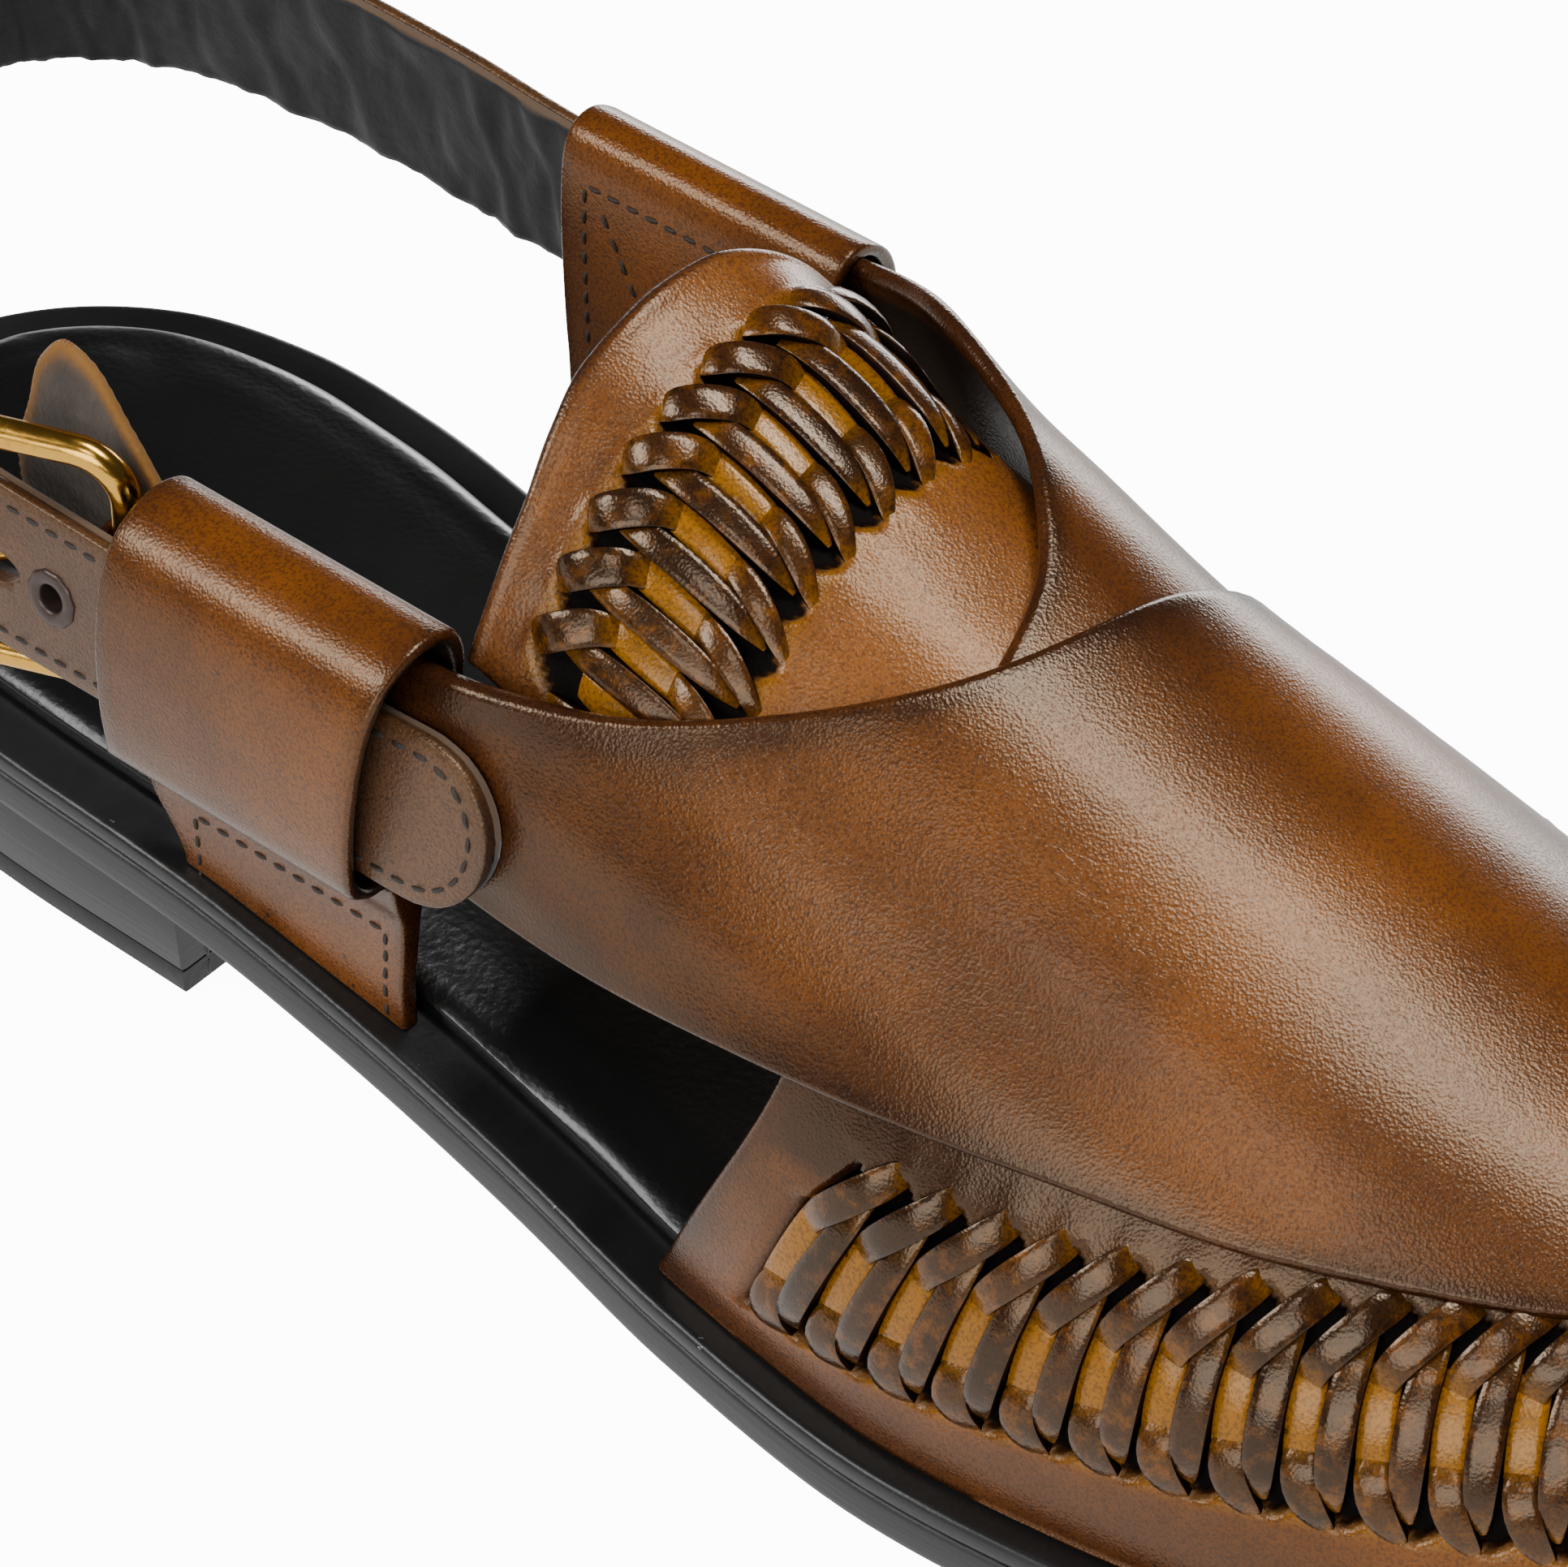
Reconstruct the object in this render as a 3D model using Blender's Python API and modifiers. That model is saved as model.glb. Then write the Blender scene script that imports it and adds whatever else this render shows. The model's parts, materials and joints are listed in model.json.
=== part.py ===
"""Peshawari chappal for the right foot, built piece by piece.

The toe points along +Y, the outer side of the foot is +X and the floor is Z = 0. Stations are
measured from the back of the sole while the pieces are made, and at the end everything moves
back so that the origin lies on the floor below the middle of the heel.
"""

import math

import bmesh
import bpy
import numpy as np
from mathutils import Matrix, Vector
from mathutils.geometry import tessellate_polygon

MM = 0.001
GAP = 0.3 * MM

# Driving sizes of the shoe
SOLE_LENGTH = 298 * MM
BALL_WIDTH = 99.5 * MM
HEEL_WIDTH = 71.5 * MM
HEEL_HEIGHT = 13.8 * MM
HEEL_LENGTH = 82 * MM
HEEL_MIDDLE = 30 * MM
TOE_SPRING = 6.5 * MM
INSTEP_HEIGHT = 92 * MM

# Thicknesses of the layers under the foot
TOP_PIECE_THICKNESS = 3.0 * MM
OUTSOLE_THICKNESS = 5.2 * MM
WELT_THICKNESS = 2.5 * MM
INSOLE_THICKNESS = 3.8 * MM
INSOLE_MARGIN = 6.6 * MM
WELT_MARGIN = 3.5 * MM
SOLE_EDGE_BEVEL = 0.7 * MM

# Leather thicknesses and the raised weave
INNER_STRAP_WALL = 2.2 * MM
OUTER_STRAP_WALL = 2.6 * MM
STRAP_JOIN_DEPTH = 0.8 * MM
OUTER_STRAP_LIFT = INNER_STRAP_WALL - STRAP_JOIN_DEPTH
TONGUE_WALL = 1.9 * MM
TONGUE_CLEARANCE = 0.75 * MM
STRIP_RISE = 1.0 * MM
SLIT_DEPTH = 0.6 * MM
STRAP_WEAVE_UNITS = 17
TONGUE_WEAVE_UNITS = 13

# Back strap, keepers and buckle
BACK_STRAP_WIDTH = 19.6 * MM
BACK_STRAP_THICKNESS = 2.3 * MM
KEEPER_LENGTH = 0.1258 * SOLE_LENGTH
KEEPER_FOOT_LENGTH = 0.104 * SOLE_LENGTH
KEEPER_START = 0.2785 * SOLE_LENGTH
FAR_KEEPER_START = 0.2698 * SOLE_LENGTH
KEEPER_HEIGHT = 0.609 * INSTEP_HEIGHT
EYELET_PITCH = 9 * MM
FIRST_EYELET = 0.249 * SOLE_LENGTH
EYELET_OUTER_RADIUS = 3.3 * MM
EYELET_INNER_RADIUS = 1.55 * MM
EYELET_BARREL_RADIUS = 1.95 * MM
EYELET_FLANGE = 0.5 * MM
BUCKLE_LENGTH = 29 * MM
BUCKLE_HEIGHT = 29.4 * MM
BUCKLE_WIRE_RADIUS = 1.7 * MM
BUCKLE_CORNER_RADIUS = 5.5 * MM
PRONG_RADIUS = 1.0 * MM
PRONG_DROP = 1.7 * MM
PRONG_SLOT_HALF_WIDTH = PRONG_RADIUS + 0.9 * MM
PRONG_SLOT_STRETCH = 2.4
CHAPE_THICKNESS = 1.2 * MM
CHAPE_WIDTH = 14 * MM
CHAPE_MIDDLE_HEIGHT = 0.6033 * INSTEP_HEIGHT
CHAPE_END = 0.2987 * SOLE_LENGTH

# How finely each piece is divided
SOLE_STATIONS = 36
HEEL_STATIONS = 12
SECTION_SAMPLES = 49

# Outline of the sole, with stations as shares of its length and reaches as shares of the
# local width, first on the outer side of the foot and then on the inner side
SOLE_OUTLINE = (
    # outer station, outer reach, inner station, inner reach
    (0.0000, 0.000, 0.0000, 0.000),
    (0.0074, 0.147, 0.0074, 0.160),
    (0.0285, 0.287, 0.0285, 0.313),
    (0.0671, 0.403, 0.0671, 0.440),
    (0.1208, 0.470, 0.1208, 0.502),
    (0.1846, 0.495, 0.1846, 0.502),
    (0.2617, 0.502, 0.2550, 0.464),
    (0.3423, 0.496, 0.3356, 0.415),
    (0.4362, 0.456, 0.4295, 0.381),
    (0.5302, 0.446, 0.5201, 0.420),
    (0.6208, 0.458, 0.6107, 0.505),
    (0.6980, 0.437, 0.6980, 0.543),
    (0.7785, 0.384, 0.7785, 0.523),
    (0.8523, 0.306, 0.8523, 0.466),
    (0.9161, 0.201, 0.9128, 0.390),
    (0.9631, 0.085, 0.9597, 0.296),
    (0.9933, -0.050, 0.9899, 0.196),
    (1.0000, -0.120, 1.0000, 0.120),
)

# Underside of the outsole, as shares of the heel height and of the toe spring
UNDERSIDE = (
    # station, heel share, toe share
    (0.00, 1.00, 0.00),
    (0.20, 0.92, 0.00),
    (0.275, 0.83, 0.00),
    (0.352, 0.55, 0.00),
    (0.453, 0.17, 0.00),
    (0.530, 0.02, 0.00),
    (0.560, 0.00, 0.00),
    (0.720, 0.00, 0.00),
    (0.800, 0.00, 0.14),
    (0.900, 0.00, 0.52),
    (1.000, 0.00, 1.00),
)

# Sections of the last. The ridge is given as shares of the ball width and instep height.
# A wall share says how high each side stays upright, a crown share how broad its top is,
# and a flare share of the ball width how far it leans out.
LAST_SECTIONS = (
    # station, ridge across, ridge height, outer wall, crown, flare, inner wall, crown, flare
    (0.302, -0.080, 1.130, 0.70, 0.66, 0.110, 0.80, 0.74, 0.240),
    (0.403, -0.100, 1.000, 0.70, 0.68, 0.100, 0.80, 0.74, 0.240),
    (0.503, -0.100, 0.859, 0.64, 0.66, 0.050, 0.77, 0.70, 0.080),
    (0.604, -0.090, 0.728, 0.60, 0.62, 0.010, 0.72, 0.50, 0.000),
    (0.705, -0.090, 0.609, 0.58, 0.60, 0.000, 0.68, 0.45, -0.018),
    (0.805, -0.110, 0.500, 0.58, 0.60, 0.000, 0.66, 0.49, 0.000),
    (0.956, -0.130, 0.370, 0.60, 0.60, 0.000, 0.72, 0.62, 0.000),
)

# Ribs of the two crossing straps, from the end in the keeper to the edge on the welt.
# Each rib has a point on the back edge, one in the middle and one on the front edge.
# Stations are shares of the sole length, girths shares of the section from the keeper's side.
OUTER_STRAP_RIBS = (
    # back station, back girth, middle station, middle girth, front station, front girth
    (0.322, 0.247, 0.322, 0.205, 0.322, 0.164),
    (0.389, 0.260, 0.393, 0.213, 0.396, 0.166),
    (0.433, 0.284, 0.445, 0.232, 0.460, 0.177),
    (0.480, 0.325, 0.507, 0.263, 0.540, 0.206),
    (0.529, 0.393, 0.584, 0.312, 0.641, 0.240),
    (0.560, 0.470, 0.648, 0.368, 0.730, 0.271),
    (0.575, 0.575, 0.701, 0.445, 0.814, 0.337),
    (0.579, 0.700, 0.728, 0.590, 0.863, 0.450),
    (0.570, 0.820, 0.735, 0.767, 0.893, 0.570),
    (0.538, 0.955, 0.742, 0.900, 0.916, 0.800),
    (0.529, 1.000, 0.735, 1.000, 0.930, 1.000),
)
INNER_STRAP_RIBS = (
    # back station, back girth, middle station, middle girth, front station, front girth
    (0.322, 0.283, 0.322, 0.236, 0.322, 0.190),
    (0.396, 0.318, 0.398, 0.255, 0.399, 0.190),
    (0.443, 0.362, 0.450, 0.275, 0.460, 0.192),
    (0.487, 0.388, 0.510, 0.300, 0.537, 0.212),
    (0.523, 0.427, 0.577, 0.330, 0.631, 0.242),
    (0.549, 0.478, 0.638, 0.376, 0.718, 0.273),
    (0.562, 0.575, 0.691, 0.450, 0.802, 0.337),
    (0.565, 0.700, 0.718, 0.590, 0.859, 0.450),
    (0.558, 0.820, 0.728, 0.767, 0.893, 0.570),
    (0.525, 0.962, 0.738, 0.900, 0.916, 0.800),
    (0.515, 1.000, 0.728, 1.000, 0.928, 1.000),
)
# How far the inner strap stands off the last at its back and front edges, for the first ribs
INNER_STRAP_LIFT = (
    # rib, back edge, front edge
    (0, 2.4 * MM, 2.0 * MM),
    (1, 3.0 * MM, 1.8 * MM),
    (2, 3.2 * MM, 1.2 * MM),
    (3, 2.4 * MM, 0.3 * MM),
    (4, 1.2 * MM, 0.0 * MM),
    (5, 0.2 * MM, 0.0 * MM),
    (6, 0.0 * MM, 0.0 * MM),
)
BAND_TOP_RIB = 8
BAND_FOOT_RIB = 9
BAND_START = 0.075
BAND_END = 0.965

# Back edge of the tongue, as shares of the sole length against girth from the outer side
TONGUE_EDGE = (
    # girth, back station
    (0.272, 0.4035),
    (0.313, 0.4045),
    (0.354, 0.404),
    (0.399, 0.400),
    (0.436, 0.397),
    (0.481, 0.397),
    (0.521, 0.399),
    (0.563, 0.404),
    (0.610, 0.412),
    (0.660, 0.426),
    (0.735, 0.460),
)
TONGUE_FRONT = 0.575
TONGUE_SINK = 1.2 * MM
TONGUE_SINK_START = 0.56
TONGUE_SINK_RUN = 0.10
TONGUE_BAND = (0.431, 0.505)
TONGUE_BAND_GIRTHS = (0.305, 0.665)
TONGUE_BORDER = 0.012
TONGUE_COVER_MARGIN = 0.035
TONGUE_COVER_RUN = 0.02

# Centre line of the back strap, from its tip round the heel to the far keeper. Lengths along
# the shoe are shares of its length, widths shares of the heel width, heights of the instep.
BACK_STRAP_PATH = (
    # across, along, height, lean
    (0.527, 0.441, 0.570, 0.20),
    (0.531, 0.416, 0.568, 0.19),
    (0.538, 0.386, 0.571, 0.17),
    (0.545, 0.349, 0.578, 0.14),
    (0.550, 0.312, 0.589, 0.12),
    (0.551, 0.279, 0.600, 0.10),
    (0.552, 0.245, 0.603, 0.12),
    (0.554, 0.215, 0.607, 0.13),
    (0.550, 0.174, 0.613, 0.10),
    (0.534, 0.128, 0.620, 0.07),
    (0.497, 0.081, 0.629, 0.04),
    (0.427, 0.037, 0.638, 0.02),
    (0.308, 0.003, 0.643, 0.02),
    (0.140, -0.018, 0.646, 0.02),
    (-0.042, -0.023, 0.647, 0.02),
    (-0.210, -0.015, 0.648, 0.02),
    (-0.357, 0.000, 0.651, 0.02),
    (-0.464, 0.027, 0.657, 0.02),
    (-0.526, 0.064, 0.663, 0.02),
    (-0.551, 0.124, 0.672, 0.02),
    (-0.545, 0.193, 0.675, 0.02),
    (-0.530, 0.242, 0.675, 0.03),
    (-0.524, 0.282, 0.674, 0.04),
    (-0.523, 0.319, 0.673, 0.04),
)
# Rounded tip of the back strap, and how much of its edge is rounded over
STRAP_TIP = (
    # row of the path, share of the half width
    (0.0, 0.35),
    (0.07, 0.62),
    (0.2, 0.82),
    (0.4, 0.95),
    (0.7, 1.0),
)
STRAP_EDGE_SOFTNESS = 0.6

# Keeper sections across the shoe, as shares of the heel width across and the instep up.
# The first and last outer points stand on the welt.
NEAR_KEEPER_OUTER = (
    # across, height
    (0.469, 0.000),
    (0.476, 0.283),
    (0.498, 0.364),
    (0.519, 0.409),
    (0.559, 0.418),
    (0.600, 0.446),
    (0.614, 0.500),
    (0.617, 0.565),
    (0.613, 0.626),
    (0.596, 0.696),
    (0.554, 0.748),
    (0.484, 0.771),
    (0.420, 0.759),
    (0.389, 0.717),
    (0.385, 0.652),
    (0.394, 0.565),
    (0.408, 0.478),
    (0.428, 0.402),
    (0.438, 0.304),
    (0.438, 0.000),
)
NEAR_KEEPER_HOLLOW = (
    # across, height
    (0.512, 0.428),
    (0.558, 0.435),
    (0.583, 0.459),
    (0.593, 0.505),
    (0.596, 0.565),
    (0.592, 0.623),
    (0.576, 0.684),
    (0.541, 0.732),
    (0.483, 0.752),
    (0.434, 0.742),
    (0.413, 0.707),
    (0.408, 0.650),
    (0.418, 0.565),
    (0.431, 0.484),
    (0.456, 0.439),
)
FAR_KEEPER_OUTER = (
    # across, height
    (-0.411, 0.000),
    (-0.434, 0.283),
    (-0.476, 0.402),
    (-0.523, 0.489),
    (-0.565, 0.543),
    (-0.587, 0.609),
    (-0.590, 0.674),
    (-0.582, 0.745),
    (-0.554, 0.804),
    (-0.501, 0.841),
    (-0.455, 0.843),
    (-0.424, 0.817),
    (-0.413, 0.750),
    (-0.413, 0.652),
    (-0.417, 0.565),
    (-0.422, 0.500),
    (-0.422, 0.424),
    (-0.406, 0.304),
    (-0.380, 0.000),
)
FAR_KEEPER_HOLLOW = (
    # across, height
    (-0.446, 0.509),
    (-0.490, 0.511),
    (-0.541, 0.547),
    (-0.565, 0.611),
    (-0.568, 0.674),
    (-0.561, 0.739),
    (-0.537, 0.792),
    (-0.494, 0.825),
    (-0.466, 0.826),
    (-0.445, 0.807),
    (-0.435, 0.748),
    (-0.435, 0.652),
    (-0.438, 0.565),
)

# Guard behind the buckle, as shares of the sole length along and of the instep up
GUARD_OUTLINE = (
    # along, height
    (0.316, 0.555),
    (0.316, 0.690),
    (0.281, 0.712),
    (0.258, 0.782),
    (0.233, 0.846),
    (0.224, 0.850),
    (0.215, 0.820),
    (0.210, 0.756),
    (0.204, 0.676),
    (0.208, 0.598),
    (0.228, 0.548),
    (0.264, 0.526),
)
GUARD_ACROSS = 0.4378 * HEEL_WIDTH

# Buckle frame, from its front bar in the chape to its back bar over the strap
BUCKLE_FRONT = (0.4755 * HEEL_WIDTH, 0.2651 * SOLE_LENGTH)
BUCKLE_BACK_ACROSS = 0.621 * HEEL_WIDTH
BUCKLE_MIDDLE_HEIGHT = 0.6217 * INSTEP_HEIGHT

# Colours as the photographed leather, metal and sole show them
COGNAC = (0.250, 0.105, 0.030)
OCHRE = (0.330, 0.150, 0.030)
BLACK = (0.012, 0.011, 0.011)
EDGE_GREY = (0.050, 0.050, 0.052)
RUBBER_BLACK = (0.030, 0.030, 0.031)
BRASS = (0.780, 0.520, 0.200)
DARK_BRASS = (0.090, 0.060, 0.040)


def clear_scene():
    """Remove every object of the startup scene."""
    for found in list(bpy.data.objects):
        bpy.data.objects.remove(found, do_unlink=True)


def collection(name):
    """Make a collection in the scene."""
    made = bpy.data.collections.new(name)
    bpy.context.scene.collection.children.link(made)
    return made


def material(name, colour, roughness, metallic=0.0):
    """Make one plain Principled material."""
    made = bpy.data.materials.new(name)
    made.use_nodes = True
    shader = made.node_tree.nodes["Principled BSDF"]
    shader.inputs["Base Color"].default_value = (*colour, 1.0)
    shader.inputs["Roughness"].default_value = roughness
    shader.inputs["Metallic"].default_value = metallic
    return made


def mesh_object(name, points, faces, home, finish):
    """Make a closed mesh object whose faces point outwards."""
    mesh = bpy.data.meshes.new(name)
    mesh.from_pydata([tuple(map(float, point)) for point in points], [], faces)
    edit = bmesh.new()
    edit.from_mesh(mesh)
    bmesh.ops.recalc_face_normals(edit, faces=edit.faces)
    edit.to_mesh(mesh)
    edit.free()
    mesh.shade_smooth()
    mesh.set_sharp_from_angle(angle=math.radians(35))
    made = bpy.data.objects.new(name, mesh)
    made.data.materials.append(finish)
    home.objects.link(made)
    return made


def curve_through(rows, column, at):
    """Monotone cubic through one column of a table, against its first column."""
    x = np.array([row[0] for row in rows])
    y = np.array([row[column] for row in rows])
    at = np.clip(np.asarray(at, float), x[0], x[-1])
    step = np.diff(x)
    slope = np.diff(y) / step
    tangent = np.concatenate(([slope[0]], np.zeros(len(x) - 2), [slope[-1]]))
    before, after = slope[:-1], slope[1:]
    same = before * after > 0
    first = 2 * step[1:] + step[:-1]
    second = step[1:] + 2 * step[:-1]
    safe_before = np.where(same, before, 1.0)
    safe_after = np.where(same, after, 1.0)
    mean = (first + second) / (first / safe_before + second / safe_after)
    tangent[1:-1] = np.where(same, mean, 0.0)
    cell = np.clip(np.searchsorted(x, at) - 1, 0, len(x) - 2)
    t = (at - x[cell]) / step[cell]
    rise = (3 - 2 * t) * t * t
    return (
        y[cell] * (1 - rise)
        + y[cell + 1] * rise
        + step[cell] * t * (1 - t) * ((1 - t) * tangent[cell] - t * tangent[cell + 1])
    )


def smooth_rows(rows, at):
    """Smooth curve through whole rows of a table, against the row's number."""
    table = np.array(rows, float)
    at = np.clip(np.asarray(at, float), 0, len(table) - 1)
    cell = np.clip(at.astype(int), 0, len(table) - 2)
    t = (at - cell)[..., None]
    before = table[np.maximum(cell - 1, 0)]
    after = table[np.minimum(cell + 2, len(table) - 1)]
    start, end = table[cell], table[cell + 1]
    start_slope = np.where((cell == 0)[..., None], end - start, (end - before) / 2)
    end_slope = np.where((cell == len(table) - 2)[..., None], end - start, (after - start) / 2)
    return (
        (2 * t**3 - 3 * t**2 + 1) * start
        + (t**3 - 2 * t**2 + t) * start_slope
        + (3 * t**2 - 2 * t**3) * end
        + (t**3 - t**2) * end_slope
    )


def local_width(y):
    """Heel width under the heel, ball width from the joint forward, blended between."""
    share = np.clip((y / SOLE_LENGTH - 0.3) / 0.3, 0, 1)
    return HEEL_WIDTH + (BALL_WIDTH - HEEL_WIDTH) * share * share * (3 - 2 * share)


def closed_curve(points, samples):
    """Smooth closed curve through the points, with the same number of samples on each span."""
    ahead = np.roll(points, -1, axis=0)
    span = np.linalg.norm(ahead - points, axis=1, keepdims=True)
    slope = (ahead - points) / span
    before = np.roll(span, 1, axis=0)
    tangent = (np.roll(slope, 1, axis=0) * span + slope * before) / (span + before)
    next_tangent = np.roll(tangent, -1, axis=0)
    t = np.linspace(0, 1, samples, endpoint=False)[None, :, None]
    curve = (
        (2 * t**3 - 3 * t**2 + 1) * points[:, None]
        + (t**3 - 2 * t**2 + t) * (tangent * span)[:, None]
        + (3 * t**2 - 2 * t**3) * ahead[:, None]
        + (t**3 - t**2) * (next_tangent * span)[:, None]
    )
    return curve.reshape(-1, points.shape[1])


def sole_branches(inset):
    """Dense outer and inner branches of the sole's outline, moved inwards by the inset."""
    rows = np.array(SOLE_OUTLINE)
    stations = rows[:, [0, 2]] * SOLE_LENGTH
    reaches = rows[:, [1, 3]] * local_width(stations) * (1, -1)
    outer, inner = np.stack([reaches, stations], 2).transpose(1, 0, 2)
    loop = closed_curve(np.concatenate([outer, inner[-2:0:-1]]), 24)
    along = np.roll(loop, -1, axis=0) - np.roll(loop, 1, axis=0)
    along /= np.linalg.norm(along, axis=1, keepdims=True)
    loop = loop + inset * np.stack([-along[:, 1], along[:, 0]], 1)
    loop = np.roll(loop, -int(np.argmin(loop[:, 1])), axis=0)
    toe = int(np.argmax(loop[:, 1]))
    back = np.concatenate([loop[toe:], loop[:1]])[::-1]
    return loop[: toe + 1], back


def reach(y, side, inset=0.0):
    """Distance across to the sole's edge, on the outer side 1 or the inner side -1."""
    branch = sole_branches(inset)[0 if side > 0 else 1]
    return np.interp(y, branch[:, 1], branch[:, 0])


def underside(y):
    """Height of the outsole's underside."""
    share = np.asarray(y) / SOLE_LENGTH
    heel_rise = HEEL_HEIGHT * curve_through(UNDERSIDE, 1, share)
    return heel_rise + TOE_SPRING * curve_through(UNDERSIDE, 2, share)


def welt_top(y):
    """Height of the welt's upper face, on which insole, upper and keepers stand."""
    return underside(y) + OUTSOLE_THICKNESS + GAP + WELT_THICKNESS


def slab(name, levels, stations, home, finish):
    """Solid between stacked outlines: each level is an inset and a height function."""
    points = []
    for inset, height in levels:
        branches = sole_branches(inset)
        first = branches[0][0, 1]
        last = branches[0][-1, 1]
        y = stations(first, last)
        outer = np.interp(y, branches[0][:, 1], branches[0][:, 0])
        inner = np.interp(y, branches[1][:, 1], branches[1][:, 0])
        points.append(np.stack([outer, y, height(y)], 1))
        points.append(np.stack([inner, y, height(y)], 1))
    count = len(y)
    closed_toe = abs(outer[-1] - inner[-1]) < GAP
    rows = []
    for level in range(len(levels)):
        base = 2 * count * level
        right = list(range(base, base + count))
        left = list(range(base + count, base + 2 * count))
        left[0] = right[0]
        if closed_toe:
            left[-1] = right[-1]
        rows.append((right, left))
    faces = []
    for (right, left), (right_up, left_up) in zip(rows[:-1], rows[1:]):
        for low, high in ((right, right_up), (left, left_up)):
            for i in range(count - 1):
                faces.append([low[i], low[i + 1], high[i + 1], high[i]])
        if not closed_toe:
            faces.append([right[-1], left[-1], left_up[-1], right_up[-1]])
    for right, left in (rows[0], rows[-1]):
        for i in range(count - 1):
            faces.append(list(dict.fromkeys([right[i], right[i + 1], left[i + 1], left[i]])))
    points = np.concatenate(points)
    used = sorted({index for face in faces for index in face})
    renumber = {old: new for new, old in enumerate(used)}
    faces = [[renumber[index] for index in face] for face in faces]
    return mesh_object(name, points[used], faces, home, finish)


def whole_length(first, last):
    """Stations crowded towards heel and toe, where the outline turns."""
    share = (1 - np.cos(np.linspace(0, math.pi, SOLE_STATIONS + 1))) / 2
    return first + (last - first) * share


def heel_only(first, last):
    """Stations from the back of the heel to its breast."""
    share = 1 - np.cos(np.linspace(0, math.pi / 2, HEEL_STATIONS + 1))
    return first + (HEEL_LENGTH - first) * share


def last_curves(y):
    """Control points of the two halves of the last's section at each station."""
    share = y / SOLE_LENGTH
    ridge_x = BALL_WIDTH * curve_through(LAST_SECTIONS, 1, share)
    ridge_z = INSTEP_HEIGHT * curve_through(LAST_SECTIONS, 2, share)
    foot_z = welt_top(y) + GAP
    halves = []
    for side, column, wall in ((1, 3, INNER_STRAP_WALL), (-1, 6, INNER_STRAP_WALL)):
        upright = curve_through(LAST_SECTIONS, column, share)
        crown = curve_through(LAST_SECTIONS, column + 1, share)
        flare = BALL_WIDTH * curve_through(LAST_SECTIONS, column + 2, share)
        foot_x = reach(y, side, WELT_MARGIN + wall + (OUTER_STRAP_LIFT if side < 0 else 0.0))
        halves.append((
            np.stack([foot_x, foot_z], -1),
            np.stack([foot_x + side * flare, foot_z + upright * (ridge_z - foot_z)], -1),
            np.stack([ridge_x + crown * (foot_x - ridge_x), ridge_z], -1),
            np.stack([ridge_x, ridge_z], -1),
        ))
    return halves


def bezier(ends, t):
    """Cubic curve through its four control points."""
    t = t[..., None]
    first, second, third, fourth = ends
    return (1 - t) ** 3 * first + 3 * t * (1 - t) ** 2 * second + 3 * t * t * (1 - t) * third + t**3 * fourth


def last_surface(y, girth):
    """Points of the last at each station and share of the girth, from the outer side."""
    y = np.asarray(y, float).ravel()
    girth = np.clip(np.asarray(girth, float).ravel(), 0, 1)
    outer, inner = last_curves(y)
    t = np.linspace(0, 1, SECTION_SAMPLES)
    up = bezier([end[:, None] for end in outer], np.broadcast_to(t, (len(y), len(t))))
    down = bezier([end[:, None] for end in inner], np.broadcast_to(t[::-1], (len(y), len(t))))
    section = np.concatenate([up, down[:, 1:]], 1)
    length = np.cumsum(np.linalg.norm(np.diff(section, axis=1), axis=2), 1)
    length = np.concatenate([np.zeros((len(y), 1)), length], 1)
    wanted = girth * length[:, -1]
    cell = np.clip((length < wanted[:, None]).sum(1) - 1, 0, length.shape[1] - 2)
    row = np.arange(len(y))
    start, end = length[row, cell], length[row, cell + 1]
    place = (cell + (wanted - start) / (end - start)) / (SECTION_SAMPLES - 1)
    rising = bezier(outer, np.clip(place, 0, 1))
    falling = bezier(inner, np.clip(2 - place, 0, 1))
    flat = np.where((place <= 1)[:, None], rising, falling)
    return np.stack([flat[:, 0], y, flat[:, 1]], 1)


def over_last(y, girth, height):
    """Points at a height over the last, measured square to its surface."""
    y = np.asarray(y, float).ravel()
    girth = np.clip(np.asarray(girth, float).ravel(), 0, 1)
    step_y, step_girth = 0.5 * MM, 0.004
    across = last_surface(y, girth + step_girth) - last_surface(y, girth - step_girth)
    along = last_surface(y + step_y, girth) - last_surface(y - step_y, girth)
    outwards = np.cross(along, across)
    outwards /= np.linalg.norm(outwards, axis=1, keepdims=True)
    points = last_surface(y, girth) + np.reshape(height, (-1, 1)) * outwards
    points[:, 2] = np.maximum(points[:, 2], welt_top(points[:, 1]) + GAP)
    return points


def strap_place(ribs, u, v, mirrored):
    """Station and girth of a strap point: u counts the ribs, v goes from back to front edge."""
    rib = smooth_rows(ribs, u)
    back, middle, front = rib[..., 0:2], rib[..., 2:4], rib[..., 4:6]
    v = np.asarray(v)[..., None]
    place = (1 - v) * (1 - 2 * v) * back + 4 * v * (1 - v) * middle + v * (2 * v - 1) * front
    girth = 1 - place[..., 1] if mirrored else place[..., 1]
    return place[..., 0] * SOLE_LENGTH, girth


# Rows of a woven band: place across it, slant in units, and rise of strip and of slit
BAND_ROWS = (
    # place, slant, strip rise, slit fall
    (0.00, 0.00, 0.0, 0.0),
    (0.08, 0.34, 0.7, 1.0),
    (0.26, 0.00, 0.8, 1.0),
    (0.32, 0.00, 1.0, 0.4),
    (0.68, 0.00, 1.0, 0.4),
    (0.74, 0.00, 0.8, 1.0),
    (0.92, 0.34, 0.7, 1.0),
    (1.00, 0.00, 0.0, 0.0),
)
# Columns of one woven unit: place along it and share of the strip's rise
UNIT_COLUMNS = (
    # place, rise share
    (0.00, 0.0),
    (0.14, 1.0),
    (0.52, 1.0),
    (0.66, 0.0),
)


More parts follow.
